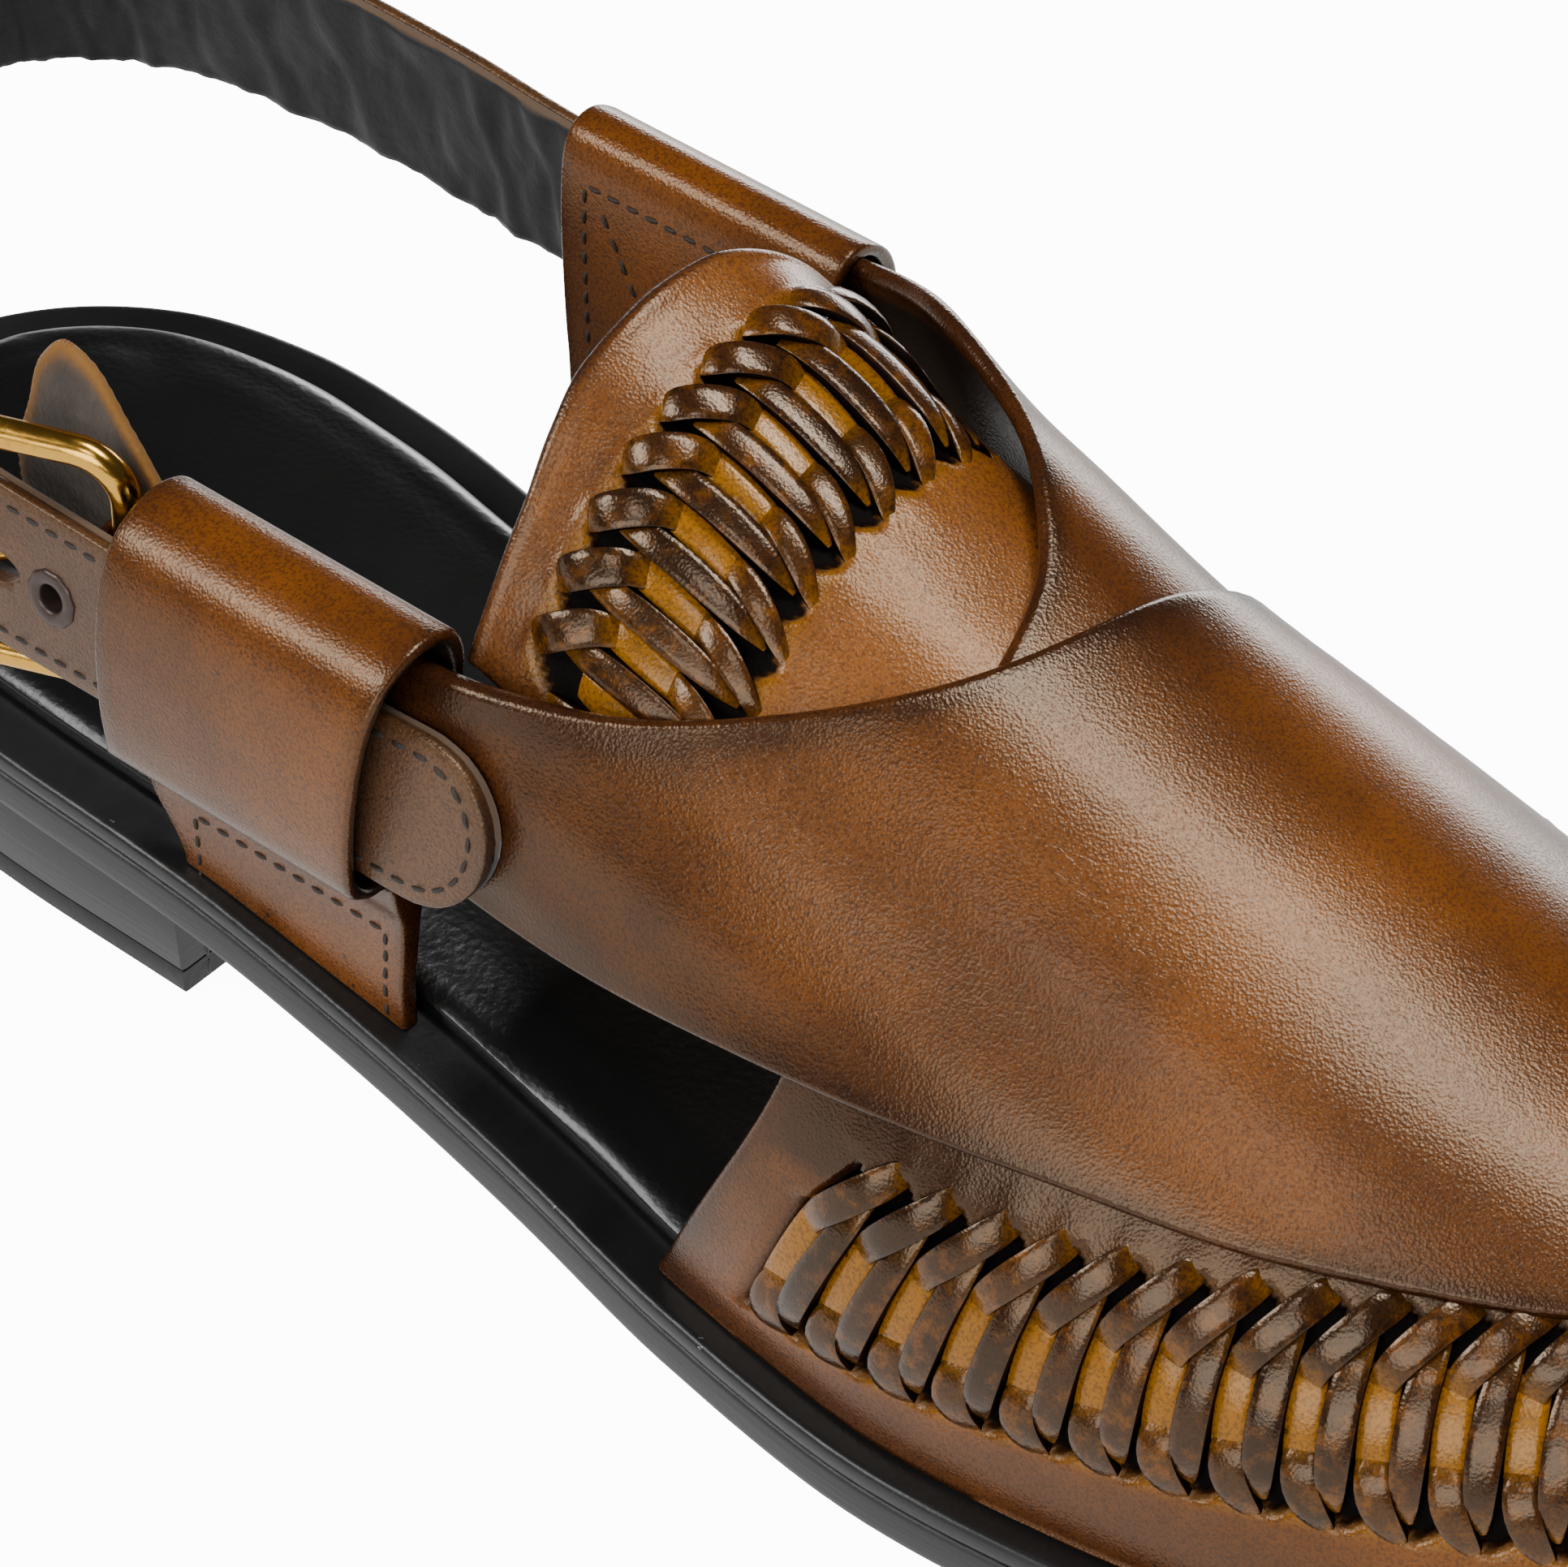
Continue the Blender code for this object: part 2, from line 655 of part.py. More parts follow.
def band_grid(units, start, end):
    """Places along a woven band, its slants, and the rise of each point over the wall."""
    pitch = (end - start) / units
    along, rise = [], []
    for unit in range(units):
        for place, share in UNIT_COLUMNS:
            along.append(start + (unit + place) * pitch)
            rise.append(share)
    along.append(end)
    rise.append(0.0)
    across = np.array([row[0] for row in BAND_ROWS])
    grid = np.repeat(np.array(along)[None], len(across), 0)
    heights = np.zeros_like(grid)
    for number, (_, slant, strip, slit) in enumerate(BAND_ROWS):
        grid[number, 1:-1] += slant * pitch
        grid[number] = np.minimum(grid[number], end)
        share = np.array(rise)
        heights[number] = share * strip * STRIP_RISE - (1 - share) * slit * SLIT_DEPTH
    heights[:, 0] = 0.0
    heights[:, -1] = 0.0
    slanted = np.arange(len(along)) >= len(along) - len(UNIT_COLUMNS)
    heights[:, slanted] *= np.where(np.array([row[1] for row in BAND_ROWS])[:, None] > 0, 0.0, 1.0)
    return across, grid, heights


def woven_wall(name, place, outer_rows, inner_rows, columns, band, wall, home, finish):
    """Curved leather wall with a woven band raised on its outer face.

    place turns (row, column, height) into points, band holds the band's first row, its last
    row and its grid, and wall the heights of the inner and outer faces over the last.
    """
    band_first, band_last, (across, fine, heights) = band
    low, high = wall
    units = (fine.shape[1] - 1) // len(UNIT_COLUMNS)
    points, faces, grids = [], [], []

    def add(row_values, column_values, rise):
        start = sum(len(chunk) for chunk in points)
        row_grid = np.broadcast_to(np.reshape(row_values, (-1, 1)), np.shape(column_values))
        points.append(place(row_grid.ravel(), np.ravel(column_values), np.ravel(rise)))
        return np.arange(start, start + row_grid.size).reshape(row_grid.shape)

    coarse = np.broadcast_to(columns, (len(outer_rows), len(columns)))
    outer = add(outer_rows, coarse, np.full(coarse.shape, high))
    woven = add(band_first + across * (band_last - band_first), fine, high + heights)
    coarse = np.broadcast_to(columns, (len(inner_rows), len(columns)))
    inner = add(inner_rows, coarse, np.full(coarse.shape, low))
    above = [i for i, row in enumerate(outer_rows) if row < band_first]
    below = [i for i, row in enumerate(outer_rows) if row > band_last]

    def quads(grid):
        for i in range(grid.shape[0] - 1):
            for j in range(grid.shape[1] - 1):
                faces.append([grid[i, j], grid[i, j + 1], grid[i + 1, j + 1], grid[i + 1, j]])

    quads(outer[above])
    quads(outer[below])
    quads(inner)
    # The band lies between the second and the last but one of the coarse columns
    edge_rows = add(band_first + across * (band_last - band_first),
                    np.repeat(columns[[0, -1]][None], len(across), 0),
                    np.full((len(across), 2), high))
    quads(woven)
    quads(np.stack([edge_rows[:, 0], woven[:, 0]], 1))
    quads(np.stack([woven[:, -1], edge_rows[:, 1]], 1))
    step = len(UNIT_COLUMNS)
    for coarse_row, fine_row, side in ((outer[above[-1]], woven[0], 0), (outer[below[0]], woven[-1], -1)):
        faces.append([coarse_row[0], coarse_row[1], fine_row[0], edge_rows[side, 0]])
        faces.append([coarse_row[-2], coarse_row[-1], edge_rows[side, 1], fine_row[-1]])
        for unit in range(units):
            run = fine_row[unit * step:(unit + 1) * step + 1]
            faces.append([coarse_row[unit + 1], coarse_row[unit + 2], *run[::-1]])
    # The rim joins the outer and inner faces; both have the same rows at the rim
    for side in (0, -1):
        rim = np.concatenate([outer[above][:, side], edge_rows[:, side], outer[below][:, side]])
        wall_rim = inner[:, side]
        for i in range(len(rim) - 1):
            faces.append([rim[i], rim[i + 1], wall_rim[i + 1], wall_rim[i]])
    for side in (0, -1):
        for j in range(len(columns) - 1):
            faces.append([outer[side, j], outer[side, j + 1], inner[side, j + 1], inner[side, j]])
    points = np.concatenate(points)
    faces = [[int(index) for index in face] for face in faces]
    return mesh_object(name, points, faces, home, finish)


def crossing_strap(name, ribs, mirrored, low, high, home, finish):
    """One of the two wide straps, from its keeper over the instep to the far welt."""
    grid = band_grid(STRAP_WEAVE_UNITS, BAND_START, BAND_END)
    pitch = (BAND_END - BAND_START) / STRAP_WEAVE_UNITS
    columns = np.concatenate([[0.0], BAND_START + pitch * np.arange(STRAP_WEAVE_UNITS + 1), [1.0]])
    before = np.concatenate([np.linspace(0, BAND_TOP_RIB - 1, 14), [BAND_TOP_RIB - 0.45]])
    after = np.array([BAND_FOOT_RIB + 0.5, BAND_FOOT_RIB + 1.0])
    woven = BAND_TOP_RIB + grid[0] * (BAND_FOOT_RIB - BAND_TOP_RIB)

    def place(row, column, height):
        y, girth = strap_place(ribs, row, column, mirrored)
        if mirrored:
            back = curve_through(INNER_STRAP_LIFT, 1, row)
            front = curve_through(INNER_STRAP_LIFT, 2, row)
            height = height + back + column * (front - back)
        return over_last(y, girth, height)

    return woven_wall(name, place, np.concatenate([before, after]), np.concatenate([before, woven, after]),
                      columns, (BAND_TOP_RIB, BAND_FOOT_RIB, grid), (low, high), home, finish)


def make_upper(home, helpers, finish):
    """The two straps, joined where they cross."""
    inner = crossing_strap("upper", INNER_STRAP_RIBS, True, 0.0, INNER_STRAP_WALL, home, finish)
    outer = crossing_strap("outer_strap_form", OUTER_STRAP_RIBS, False, OUTER_STRAP_LIFT,
                           OUTER_STRAP_LIFT + OUTER_STRAP_WALL, helpers, finish)
    outer.hide_render = True
    outer.display_type = "WIRE"
    join = inner.modifiers.new("Join where they cross", "BOOLEAN")
    join.operation = "UNION"
    join.solver = "EXACT"
    join.object = outer
    return inner


def make_tongue(home, finish):
    """The rounded tongue under the crossing, with its arched woven band."""
    first, last = TONGUE_BAND_GIRTHS
    across, fine, heights = band_grid(TONGUE_WEAVE_UNITS, first, last)
    pitch = (last - first) / TONGUE_WEAVE_UNITS
    low_girth, high_girth = TONGUE_EDGE[0][0], TONGUE_EDGE[-1][0]
    columns = np.concatenate([[low_girth], first + pitch * np.arange(TONGUE_WEAVE_UNITS + 1), [high_girth]])
    # Rows: 0 is the back edge, 1 and 2 are the edges of the band, 3 is the hidden front edge
    outer_rows = np.array([0.0, 0.5, 2.4, 3.0])
    inner_rows = np.concatenate([[0.0, 0.5], 1 + across, [2.4, 3.0]])

    def place(row, girth, height):
        back = curve_through(TONGUE_EDGE, 1, girth)
        band_back = np.maximum(TONGUE_BAND[0], back + TONGUE_BORDER)
        band_front = np.full_like(back, TONGUE_BAND[1])
        stations = np.stack([back, band_back, band_front, np.full_like(back, TONGUE_FRONT)], 1)
        cell = np.clip(row.astype(int), 0, 2)
        index = np.arange(len(row))
        station = stations[index, cell] + (row - cell) * (stations[index, cell + 1] - stations[index, cell])
        # Strips sink back to the plain wall where the inner strap covers them
        edge = 1 - curve_through([(rib[0], rib[1]) for rib in INNER_STRAP_RIBS[:7]], 1, station)
        outer_face = height > -TONGUE_CLEARANCE - TONGUE_WALL / 2
        sink = np.clip((girth - TONGUE_SINK_START) / TONGUE_SINK_RUN, 0, 1)
        hidden = np.clip((girth - edge + TONGUE_COVER_MARGIN) / TONGUE_COVER_RUN, 0, 1)
        height = np.where(outer_face, height + (-TONGUE_CLEARANCE - height) * hidden, height)
        return over_last(station * SOLE_LENGTH, girth, height - TONGUE_SINK * sink * sink * (3 - 2 * sink))

    wall = (-TONGUE_CLEARANCE - TONGUE_WALL, -TONGUE_CLEARANCE)
    return woven_wall("tongue", place, outer_rows, inner_rows, columns, (1.0, 2.0, (across, fine, heights)),
                      wall, home, finish)


def keeper(name, outer_rows, hollow_rows, start, home, finish):
    """Folded leather loop that stands on the welt, open along the shoe and longer at its crest."""
    outer = np.array(outer_rows) * (HEEL_WIDTH, INSTEP_HEIGHT)
    hollow = np.array(hollow_rows) * (HEEL_WIDTH, INSTEP_HEIGHT)
    ring = np.concatenate([outer, hollow])
    on_welt = ring[:, 1] == 0
    foot = welt_top(np.array([start]))[0]
    growth = np.clip((ring[:, 1] - foot) / KEEPER_HEIGHT, 0, 1)
    length = KEEPER_FOOT_LENGTH + growth * (KEEPER_LENGTH - KEEPER_FOOT_LENGTH)
    shares = np.linspace(0, 1, 7)
    points = []
    for share in shares:
        y = start + share * length
        points.append(np.stack([ring[:, 0], y, np.where(on_welt, welt_top(y) + GAP, ring[:, 1])], 1))
    count, inside = len(outer), len(hollow)
    size = count + inside
    faces = []
    for i in range(len(shares) - 1):
        low, high = i * size, (i + 1) * size
        for first, number in ((0, count), (count, inside)):
            for j in range(number):
                k = (j + 1) % number
                faces.append([low + first + j, low + first + k, high + first + k, high + first + j])
    for base, chunk in ((0, points[0]), (size * (len(shares) - 1), points[-1])):
        flat = [[Vector((x, z, 0)) for x, _, z in part] for part in (chunk[:count], chunk[count:])]
        for triangle in tessellate_polygon(flat):
            faces.append([base + index for index in triangle])
    return mesh_object(name, np.concatenate(points), faces, home, finish)


def strap_frames(at):
    """Centre points, outward directions and up directions of the back strap."""
    rows = smooth_rows(BACK_STRAP_PATH, at)
    centre = rows[:, :3] * (HEEL_WIDTH, SOLE_LENGTH, INSTEP_HEIGHT)
    ahead = smooth_rows(BACK_STRAP_PATH, at + 0.01)[:, :2] * (HEEL_WIDTH, SOLE_LENGTH)
    behind = smooth_rows(BACK_STRAP_PATH, at - 0.01)[:, :2] * (HEEL_WIDTH, SOLE_LENGTH)
    along = ahead - behind
    along /= np.linalg.norm(along, axis=1, keepdims=True)
    level = np.stack([along[:, 1] * -1, along[:, 0], np.zeros(len(along))], 1)
    upright = np.stack([np.zeros(len(along)), np.zeros(len(along)), np.ones(len(along))], 1)
    lean = rows[:, 3:4]
    up = (upright - level * lean) / np.sqrt(1 + lean**2)
    out = (level + upright * lean) / np.sqrt(1 + lean**2)
    return centre, out, up


def place_on_strap(y):
    """Row number of the strap's path at which its outer side reaches a station."""
    numbers = np.linspace(0, 9, 400)
    stations = smooth_rows(BACK_STRAP_PATH, numbers)[:, 1] * SOLE_LENGTH
    return float(np.interp(-y, -stations, numbers))


def make_back_strap(home, helpers, finish):
    """Strap round the heel, with a rounded tip, a slot for the prong and eyelet holes."""
    last_row = len(BACK_STRAP_PATH) - 1.0
    tip = [row for row, _ in STRAP_TIP]
    at = np.concatenate([tip, np.arange(1.0, last_row, 0.5), [last_row]])
    centre, out, up = strap_frames(at)
    half = np.full(len(at), BACK_STRAP_WIDTH / 2)
    half[:len(tip)] *= [share for _, share in STRAP_TIP]
    thick = BACK_STRAP_THICKNESS / 2
    soft = STRAP_EDGE_SOFTNESS * thick
    # Each corner of the strap's section: place outwards, end of the width, pull towards the middle
    upper_corners = ((thick, 1, -1), (soft, 1, 0), (-soft, 1, 0), (-thick, 1, -1))
    lower_corners = ((-thick, -1, 1), (-soft, -1, 0), (soft, -1, 0), (thick, -1, 1))
    ring = upper_corners + lower_corners
    points = [centre + out * side + up * (end * half + pull * soft)[:, None] for side, end, pull in ring]
    points = np.stack(points, 1)
    count = len(ring)
    faces = []
    for i in range(len(at) - 1):
        for j in range(count):
            k = (j + 1) % count
            faces.append([i * count + j, i * count + k, (i + 1) * count + k, (i + 1) * count + j])
    faces.append(list(range(count)))
    faces.append([(len(at) - 1) * count + j for j in range(count)])
    strap = mesh_object("back_strap", points.reshape(-1, 3), faces, home, finish)
    for number, y in enumerate(eyelet_stations()):
        cutter = punch(f"eyelet_hole_{number + 1}", y, EYELET_BARREL_RADIUS + GAP, 1.0, helpers)
        cut(strap, cutter)
    slot = punch("prong_slot", prong_station(), PRONG_SLOT_HALF_WIDTH, PRONG_SLOT_STRETCH, helpers)
    cut(strap, slot)
    return strap


def eyelet_stations():
    """Stations of the eyelets: one before and one after the prong's slot."""
    return (FIRST_EYELET, FIRST_EYELET - 2 * EYELET_PITCH)


def prong_station():
    """Station of the slot that the prong passes through."""
    return FIRST_EYELET - EYELET_PITCH


def strap_matrix(y):
    """Place on the strap's middle at a station, with Z pointing out of its face."""
    at = np.array([place_on_strap(y)])
    centre, out, up = (values[0] for values in strap_frames(at))
    side = np.cross(up, out)
    matrix = Matrix.Identity(4)
    for column, axis in enumerate((side, up, out, centre)):
        for row in range(3):
            matrix[row][column] = float(axis[row])
    return matrix


def punch(name, y, radius, stretch, helpers):
    """Round or oblong cutter square to the strap."""
    bpy.ops.mesh.primitive_cylinder_add(vertices=16, radius=radius, depth=6 * BACK_STRAP_THICKNESS)
    made = bpy.context.object
    made.name = name
    made.data.transform(Matrix.Diagonal((stretch, 1, 1, 1)))
    made.matrix_world = strap_matrix(y)
    made.hide_render = True
    made.display_type = "WIRE"
    for home in list(made.users_collection):
        home.objects.unlink(made)
    helpers.objects.link(made)
    return made


def cut(body, cutter):
    """Take the cutter out of the body."""
    made = body.modifiers.new(f"Cut {cutter.name}", "BOOLEAN")
    made.operation = "DIFFERENCE"
    made.solver = "EXACT"
    made.object = cutter


def make_eyelet(name, y, home, finish):
    """Turned metal ring with a flange on the outer face of the strap."""
    face = BACK_STRAP_THICKNESS / 2 + GAP
    profile = (
        (EYELET_INNER_RADIUS, face + EYELET_FLANGE * 0.6),
        (EYELET_INNER_RADIUS + 0.5 * MM, face + EYELET_FLANGE),
        (EYELET_OUTER_RADIUS - 0.5 * MM, face + EYELET_FLANGE),
        (EYELET_OUTER_RADIUS, face + EYELET_FLANGE * 0.4),
        (EYELET_OUTER_RADIUS, face),
        (EYELET_BARREL_RADIUS, face),
        (EYELET_BARREL_RADIUS, -face),
        (EYELET_INNER_RADIUS, -face),
    )
    mesh = bpy.data.meshes.new(name)
    edges = [(i, (i + 1) % len(profile)) for i in range(len(profile))]
    mesh.from_pydata([(radius, 0, height) for radius, height in profile], edges, [])
    made = bpy.data.objects.new(name, mesh)
    home.objects.link(made)
    turn = made.modifiers.new("Turn", "SCREW")
    turn.steps = 12
    turn.render_steps = 12
    turn.use_merge_vertices = True
    turn.merge_threshold = 0.00001
    made.data.materials.append(finish)
    made.matrix_world = strap_matrix(y)
    return made


def wire(name, route, radius, closed, home, finish):
    """Round wire along a polyline."""
    curve = bpy.data.curves.new(name, "CURVE")
    curve.dimensions = "3D"
    curve.bevel_depth = radius
    curve.bevel_resolution = 2
    curve.use_fill_caps = not closed
    line = curve.splines.new("POLY")
    line.points.add(len(route) - 1)
    for point, place in zip(line.points, route):
        point.co = (*map(float, place), 1.0)
    line.use_cyclic_u = closed
    made = bpy.data.objects.new(name, curve)
    made.data.materials.append(finish)
    home.objects.link(made)
    return made


def buckle_point(along, up, out):
    """Place in the buckle's own plane: along from the front bar, up from its middle, outwards."""
    front = np.array(BUCKLE_FRONT)
    run = math.sqrt(BUCKLE_LENGTH**2 - (BUCKLE_BACK_ACROSS - front[0]) ** 2)
    ahead = np.array([BUCKLE_BACK_ACROSS - front[0], -run]) / BUCKLE_LENGTH
    square = np.array([-ahead[1], ahead[0]])
    flat = front + ahead * along + square * out
    return np.array([flat[0], flat[1], BUCKLE_MIDDLE_HEIGHT + up])


def make_buckle(home, finish):
    """Rounded wire frame whose front bar is held by the chape."""
    route = []
    half = BUCKLE_HEIGHT / 2
    radius = BUCKLE_CORNER_RADIUS
    corners = (
        (BUCKLE_LENGTH - radius, half - radius, 0),
        (radius, half - radius, 90),
        (radius, radius - half, 180),
        (BUCKLE_LENGTH - radius, radius - half, 270),
    )
    for along, up, start in corners:
        for step in range(5):
            angle = math.radians(start + 90 * step / 4)
            route.append(buckle_point(along + radius * math.cos(angle), up + radius * math.sin(angle), 0))
    return wire("buckle_frame", route, BUCKLE_WIRE_RADIUS, True, home, finish)


def make_prong(home, finish):
    """Tongue pin of the buckle, through the strap's slot and onto the back bar."""
    stand = BUCKLE_WIRE_RADIUS + GAP + PRONG_RADIUS
    route = (
        buckle_point(stand, -PRONG_DROP, 0),
        buckle_point(0.33 * BUCKLE_LENGTH, -PRONG_DROP, -0.9 * MM),
        buckle_point(0.48 * BUCKLE_LENGTH, -PRONG_DROP, -0.6 * MM),
        buckle_point(0.58 * BUCKLE_LENGTH, -PRONG_DROP, 1.0 * MM),
        buckle_point(0.70 * BUCKLE_LENGTH, -PRONG_DROP, 2.6 * MM),
        buckle_point(0.84 * BUCKLE_LENGTH, -PRONG_DROP, stand),
        buckle_point(BUCKLE_LENGTH + BUCKLE_WIRE_RADIUS, -PRONG_DROP, stand),
    )
    return wire("buckle_prong", route, PRONG_RADIUS, False, home, finish)


def plate_round(name, path, width_low, width_high, thickness, home, finish):
    """Upright leather ply of one thickness that follows a path in plan."""
    path = np.array(path)
    along = np.gradient(path, axis=0)
    along /= np.linalg.norm(along, axis=1, keepdims=True)
    square = np.stack([along[:, 1], -along[:, 0]], 1) * thickness / 2
    count = len(path)
    points = []
    for side, height in ((1, width_low), (1, width_high), (-1, width_high), (-1, width_low)):
        flat = path + side * square
        points.append(np.insert(flat, 2, height, axis=1))
    faces = []
    for i in range(count - 1):
        for j in range(4):
            k = (j + 1) % 4
            faces.append([j * count + i, j * count + i + 1, k * count + i + 1, k * count + i])
    faces.append([0, count, 2 * count, 3 * count])
    faces.append([count - 1, 2 * count - 1, 3 * count - 1, 4 * count - 1])
    return mesh_object(name, np.concatenate(points), faces, home, finish)


def make_chape(home, helpers, finish):
    """Short leather strip that wraps the front bar and runs into the keeper."""
    x, y = BUCKLE_FRONT
    bend = BUCKLE_WIRE_RADIUS + GAP + CHAPE_THICKNESS / 2
    turn = [math.radians(angle) for angle in range(240, 361, 30)]
    wrap = [(x + bend * math.cos(angle), y + bend * math.sin(angle)) for angle in turn]
    path = [*wrap, (x + bend, (y + CHAPE_END) / 2), (x + bend, CHAPE_END)]
    low = CHAPE_MIDDLE_HEIGHT - CHAPE_WIDTH / 2
    chape = plate_round("buckle_chape", path, low, low + CHAPE_WIDTH, CHAPE_THICKNESS, home, finish)
    bpy.ops.mesh.primitive_cube_add(size=1)
    slot = bpy.context.object
    slot.name = "chape_slot"
    slot.data.transform(Matrix.Diagonal((8 * bend, 3 * bend, 2 * PRONG_SLOT_HALF_WIDTH, 1)))
    slot.location = (x, y - 1.2 * bend, BUCKLE_MIDDLE_HEIGHT - PRONG_DROP)
    slot.hide_render = True
    slot.display_type = "WIRE"
    for found in list(slot.users_collection):
        found.objects.unlink(slot)
    helpers.objects.link(slot)
    cut(chape, slot)
    return chape


def make_guard(home, finish):
    """Leaf of leather behind the buckle, with its pointed end standing over the strap."""
    curve = bpy.data.curves.new("buckle_guard", "CURVE")
    curve.dimensions = "2D"
    curve.fill_mode = "BOTH"
    curve.extrude = CHAPE_THICKNESS / 2
    line = curve.splines.new("POLY")
    line.points.add(len(GUARD_OUTLINE) - 1)
    for point, (along, height) in zip(line.points, GUARD_OUTLINE):
        point.co = (along * SOLE_LENGTH, height * INSTEP_HEIGHT, 0, 1)
    line.use_cyclic_u = True
    made = bpy.data.objects.new("buckle_guard", curve)
    made.data.materials.append(finish)
    made.matrix_world = Matrix((
        (0, 0, 1, GUARD_ACROSS),
        (1, 0, 0, 0),
        (0, 1, 0, 0),
        (0, 0, 0, 1),
    ))
    home.objects.link(made)
    return made


def make_sole(home, leather, edge, rubber):
    """Outsole, welt, heel stack, top piece and padded insole."""
    bevel = SOLE_EDGE_BEVEL
    slab("outsole", (
        (2 * bevel, underside),
        (0.3 * bevel, lambda y: underside(y) + bevel),
        (0.0, lambda y: underside(y) + OUTSOLE_THICKNESS - 0.3 * bevel),
        (0.4 * bevel, lambda y: underside(y) + OUTSOLE_THICKNESS),
    ), whole_length, home, edge)
    seat = OUTSOLE_THICKNESS + GAP
    slab("welt", (
        (0.5 * bevel, lambda y: underside(y) + seat),
        (0.1 * bevel, lambda y: underside(y) + seat + 0.5 * bevel),
        (0.3 * bevel, lambda y: underside(y) + seat + WELT_THICKNESS - 0.7 * bevel),
        (bevel, welt_top),
    ), whole_length, home, edge)
    slab("heel_stack", (
        (2.2 * bevel, lambda y: np.full_like(y, TOP_PIECE_THICKNESS + GAP)),
        (1.2 * bevel, lambda y: underside(y) - GAP),
    ), heel_only, home, edge)
    slab("heel_top_piece", (
        (3.0 * bevel, lambda y: np.zeros_like(y)),
        (2.3 * bevel, lambda y: np.full_like(y, 0.5 * bevel)),
        (2.2 * bevel, lambda y: np.full_like(y, TOP_PIECE_THICKNESS)),
    ), heel_only, home, rubber)
    base = INSOLE_MARGIN
    top = INSOLE_THICKNESS
    slab("insole", (
        (base, lambda y: welt_top(y) + GAP),
        (base - 0.1 * top, lambda y: welt_top(y) + GAP + 0.35 * top),
        (base + 0.1 * top, lambda y: welt_top(y) + GAP + 0.75 * top),
        (base + 0.6 * top, lambda y: welt_top(y) + GAP + top),
    ), whole_length, home, leather)


def main():
    """Build every piece of the shoe."""
    clear_scene()
    home = collection("peshawari_chappal")
    helpers = collection("cutters")
    helpers.hide_render = True
    cognac = material("cognac_leather", COGNAC, 0.38)
    ochre = material("ochre_weave_leather", OCHRE, 0.45)
    black = material("black_insole_leather", BLACK, 0.28)
    edge = material("black_sole_edge", EDGE_GREY, 0.42)
    rubber = material("black_rubber", RUBBER_BLACK, 0.6)
    brass = material("brass", BRASS, 0.28, 1.0)
    dark_brass = material("dark_eyelet", DARK_BRASS, 0.4, 1.0)
    make_sole(home, black, edge, rubber)
    make_upper(home, helpers, cognac)
    make_tongue(home, ochre)
    keeper("keeper_outer_side", NEAR_KEEPER_OUTER, NEAR_KEEPER_HOLLOW, KEEPER_START, home, cognac)
    keeper("keeper_inner_side", FAR_KEEPER_OUTER, FAR_KEEPER_HOLLOW, FAR_KEEPER_START, home, cognac)
    make_back_strap(home, helpers, cognac)
    for number, y in enumerate(eyelet_stations()):
        make_eyelet(f"eyelet_{number + 1}", y, home, dark_brass)
    make_buckle(home, brass)
    make_prong(home, brass)
    make_chape(home, helpers, cognac)
    make_guard(home, cognac)
    for made in (*home.objects, *helpers.objects):
        made.location.y -= HEEL_MIDDLE


main()
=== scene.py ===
"""Looks of the peshawari chappal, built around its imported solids.

Lengths are metres, the toe points along +Y, the outer side of the foot is +X and the floor is
Z = 0. Stations along the shoe are measured from the back of the sole, which lies HEEL_MIDDLE
behind the origin, and every mesh is moved back by that much when it is made.
"""

import functools
import json
import logging
import math
from collections.abc import Callable, Sequence
from dataclasses import dataclass
from enum import Enum

import bpy
import numpy as np
from mathutils import Matrix, Vector
from mathutils.geometry import tessellate_polygon

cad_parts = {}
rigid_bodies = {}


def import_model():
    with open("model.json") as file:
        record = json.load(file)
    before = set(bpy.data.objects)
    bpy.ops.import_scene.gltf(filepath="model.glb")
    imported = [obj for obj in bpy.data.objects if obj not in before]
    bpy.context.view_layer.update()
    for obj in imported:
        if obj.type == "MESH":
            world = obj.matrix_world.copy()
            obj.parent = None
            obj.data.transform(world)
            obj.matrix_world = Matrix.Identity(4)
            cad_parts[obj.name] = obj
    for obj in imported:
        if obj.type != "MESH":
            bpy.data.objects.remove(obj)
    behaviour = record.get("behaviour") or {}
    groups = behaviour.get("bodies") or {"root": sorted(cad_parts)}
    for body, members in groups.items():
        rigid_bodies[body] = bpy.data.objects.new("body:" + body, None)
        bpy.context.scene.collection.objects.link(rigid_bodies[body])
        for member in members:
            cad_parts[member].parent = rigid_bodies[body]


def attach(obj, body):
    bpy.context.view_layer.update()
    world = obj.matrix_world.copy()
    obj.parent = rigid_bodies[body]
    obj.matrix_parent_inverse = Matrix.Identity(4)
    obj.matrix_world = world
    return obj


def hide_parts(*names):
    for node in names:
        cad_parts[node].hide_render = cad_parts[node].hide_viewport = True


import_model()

Array = np.ndarray
Colour = tuple[float, float, float]
Marks = dict[str, Array]
Place = Callable[[Array, Array, Array], Array]

LOG = logging.getLogger("chappal")
MM = 0.001
HEEL_MIDDLE = 30 * MM
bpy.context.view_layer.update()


class Side(Enum):
    """The two sides of the foot: +1 is the outer side, -1 the inner side."""

    OUTER = 1
    INNER = -1


# ---------------------------------------------------------------- shape maths


def ease(value: Array) -> Array:
    """Smooth step from 0 to 1: three squares less two cubes of the clipped value."""
    value = np.clip(value, 0, 1)
    return value * value * (3 - 2 * value)


def rise(value: Array, start: float, end: float) -> Array:
    """Smooth step of the value's place between start and end."""
    return ease((value - start) / (end - start))


def hermite(t: Array, start: Array, start_slope: Array, end: Array, end_slope: Array) -> Array:
    """Cubic from start to end as t goes from 0 to 1, with a slope at each end."""
    up = (3 - 2 * t) * t * t
    return start * (1 - up) + end * up + t * (1 - t) * ((1 - t) * start_slope - t * end_slope)


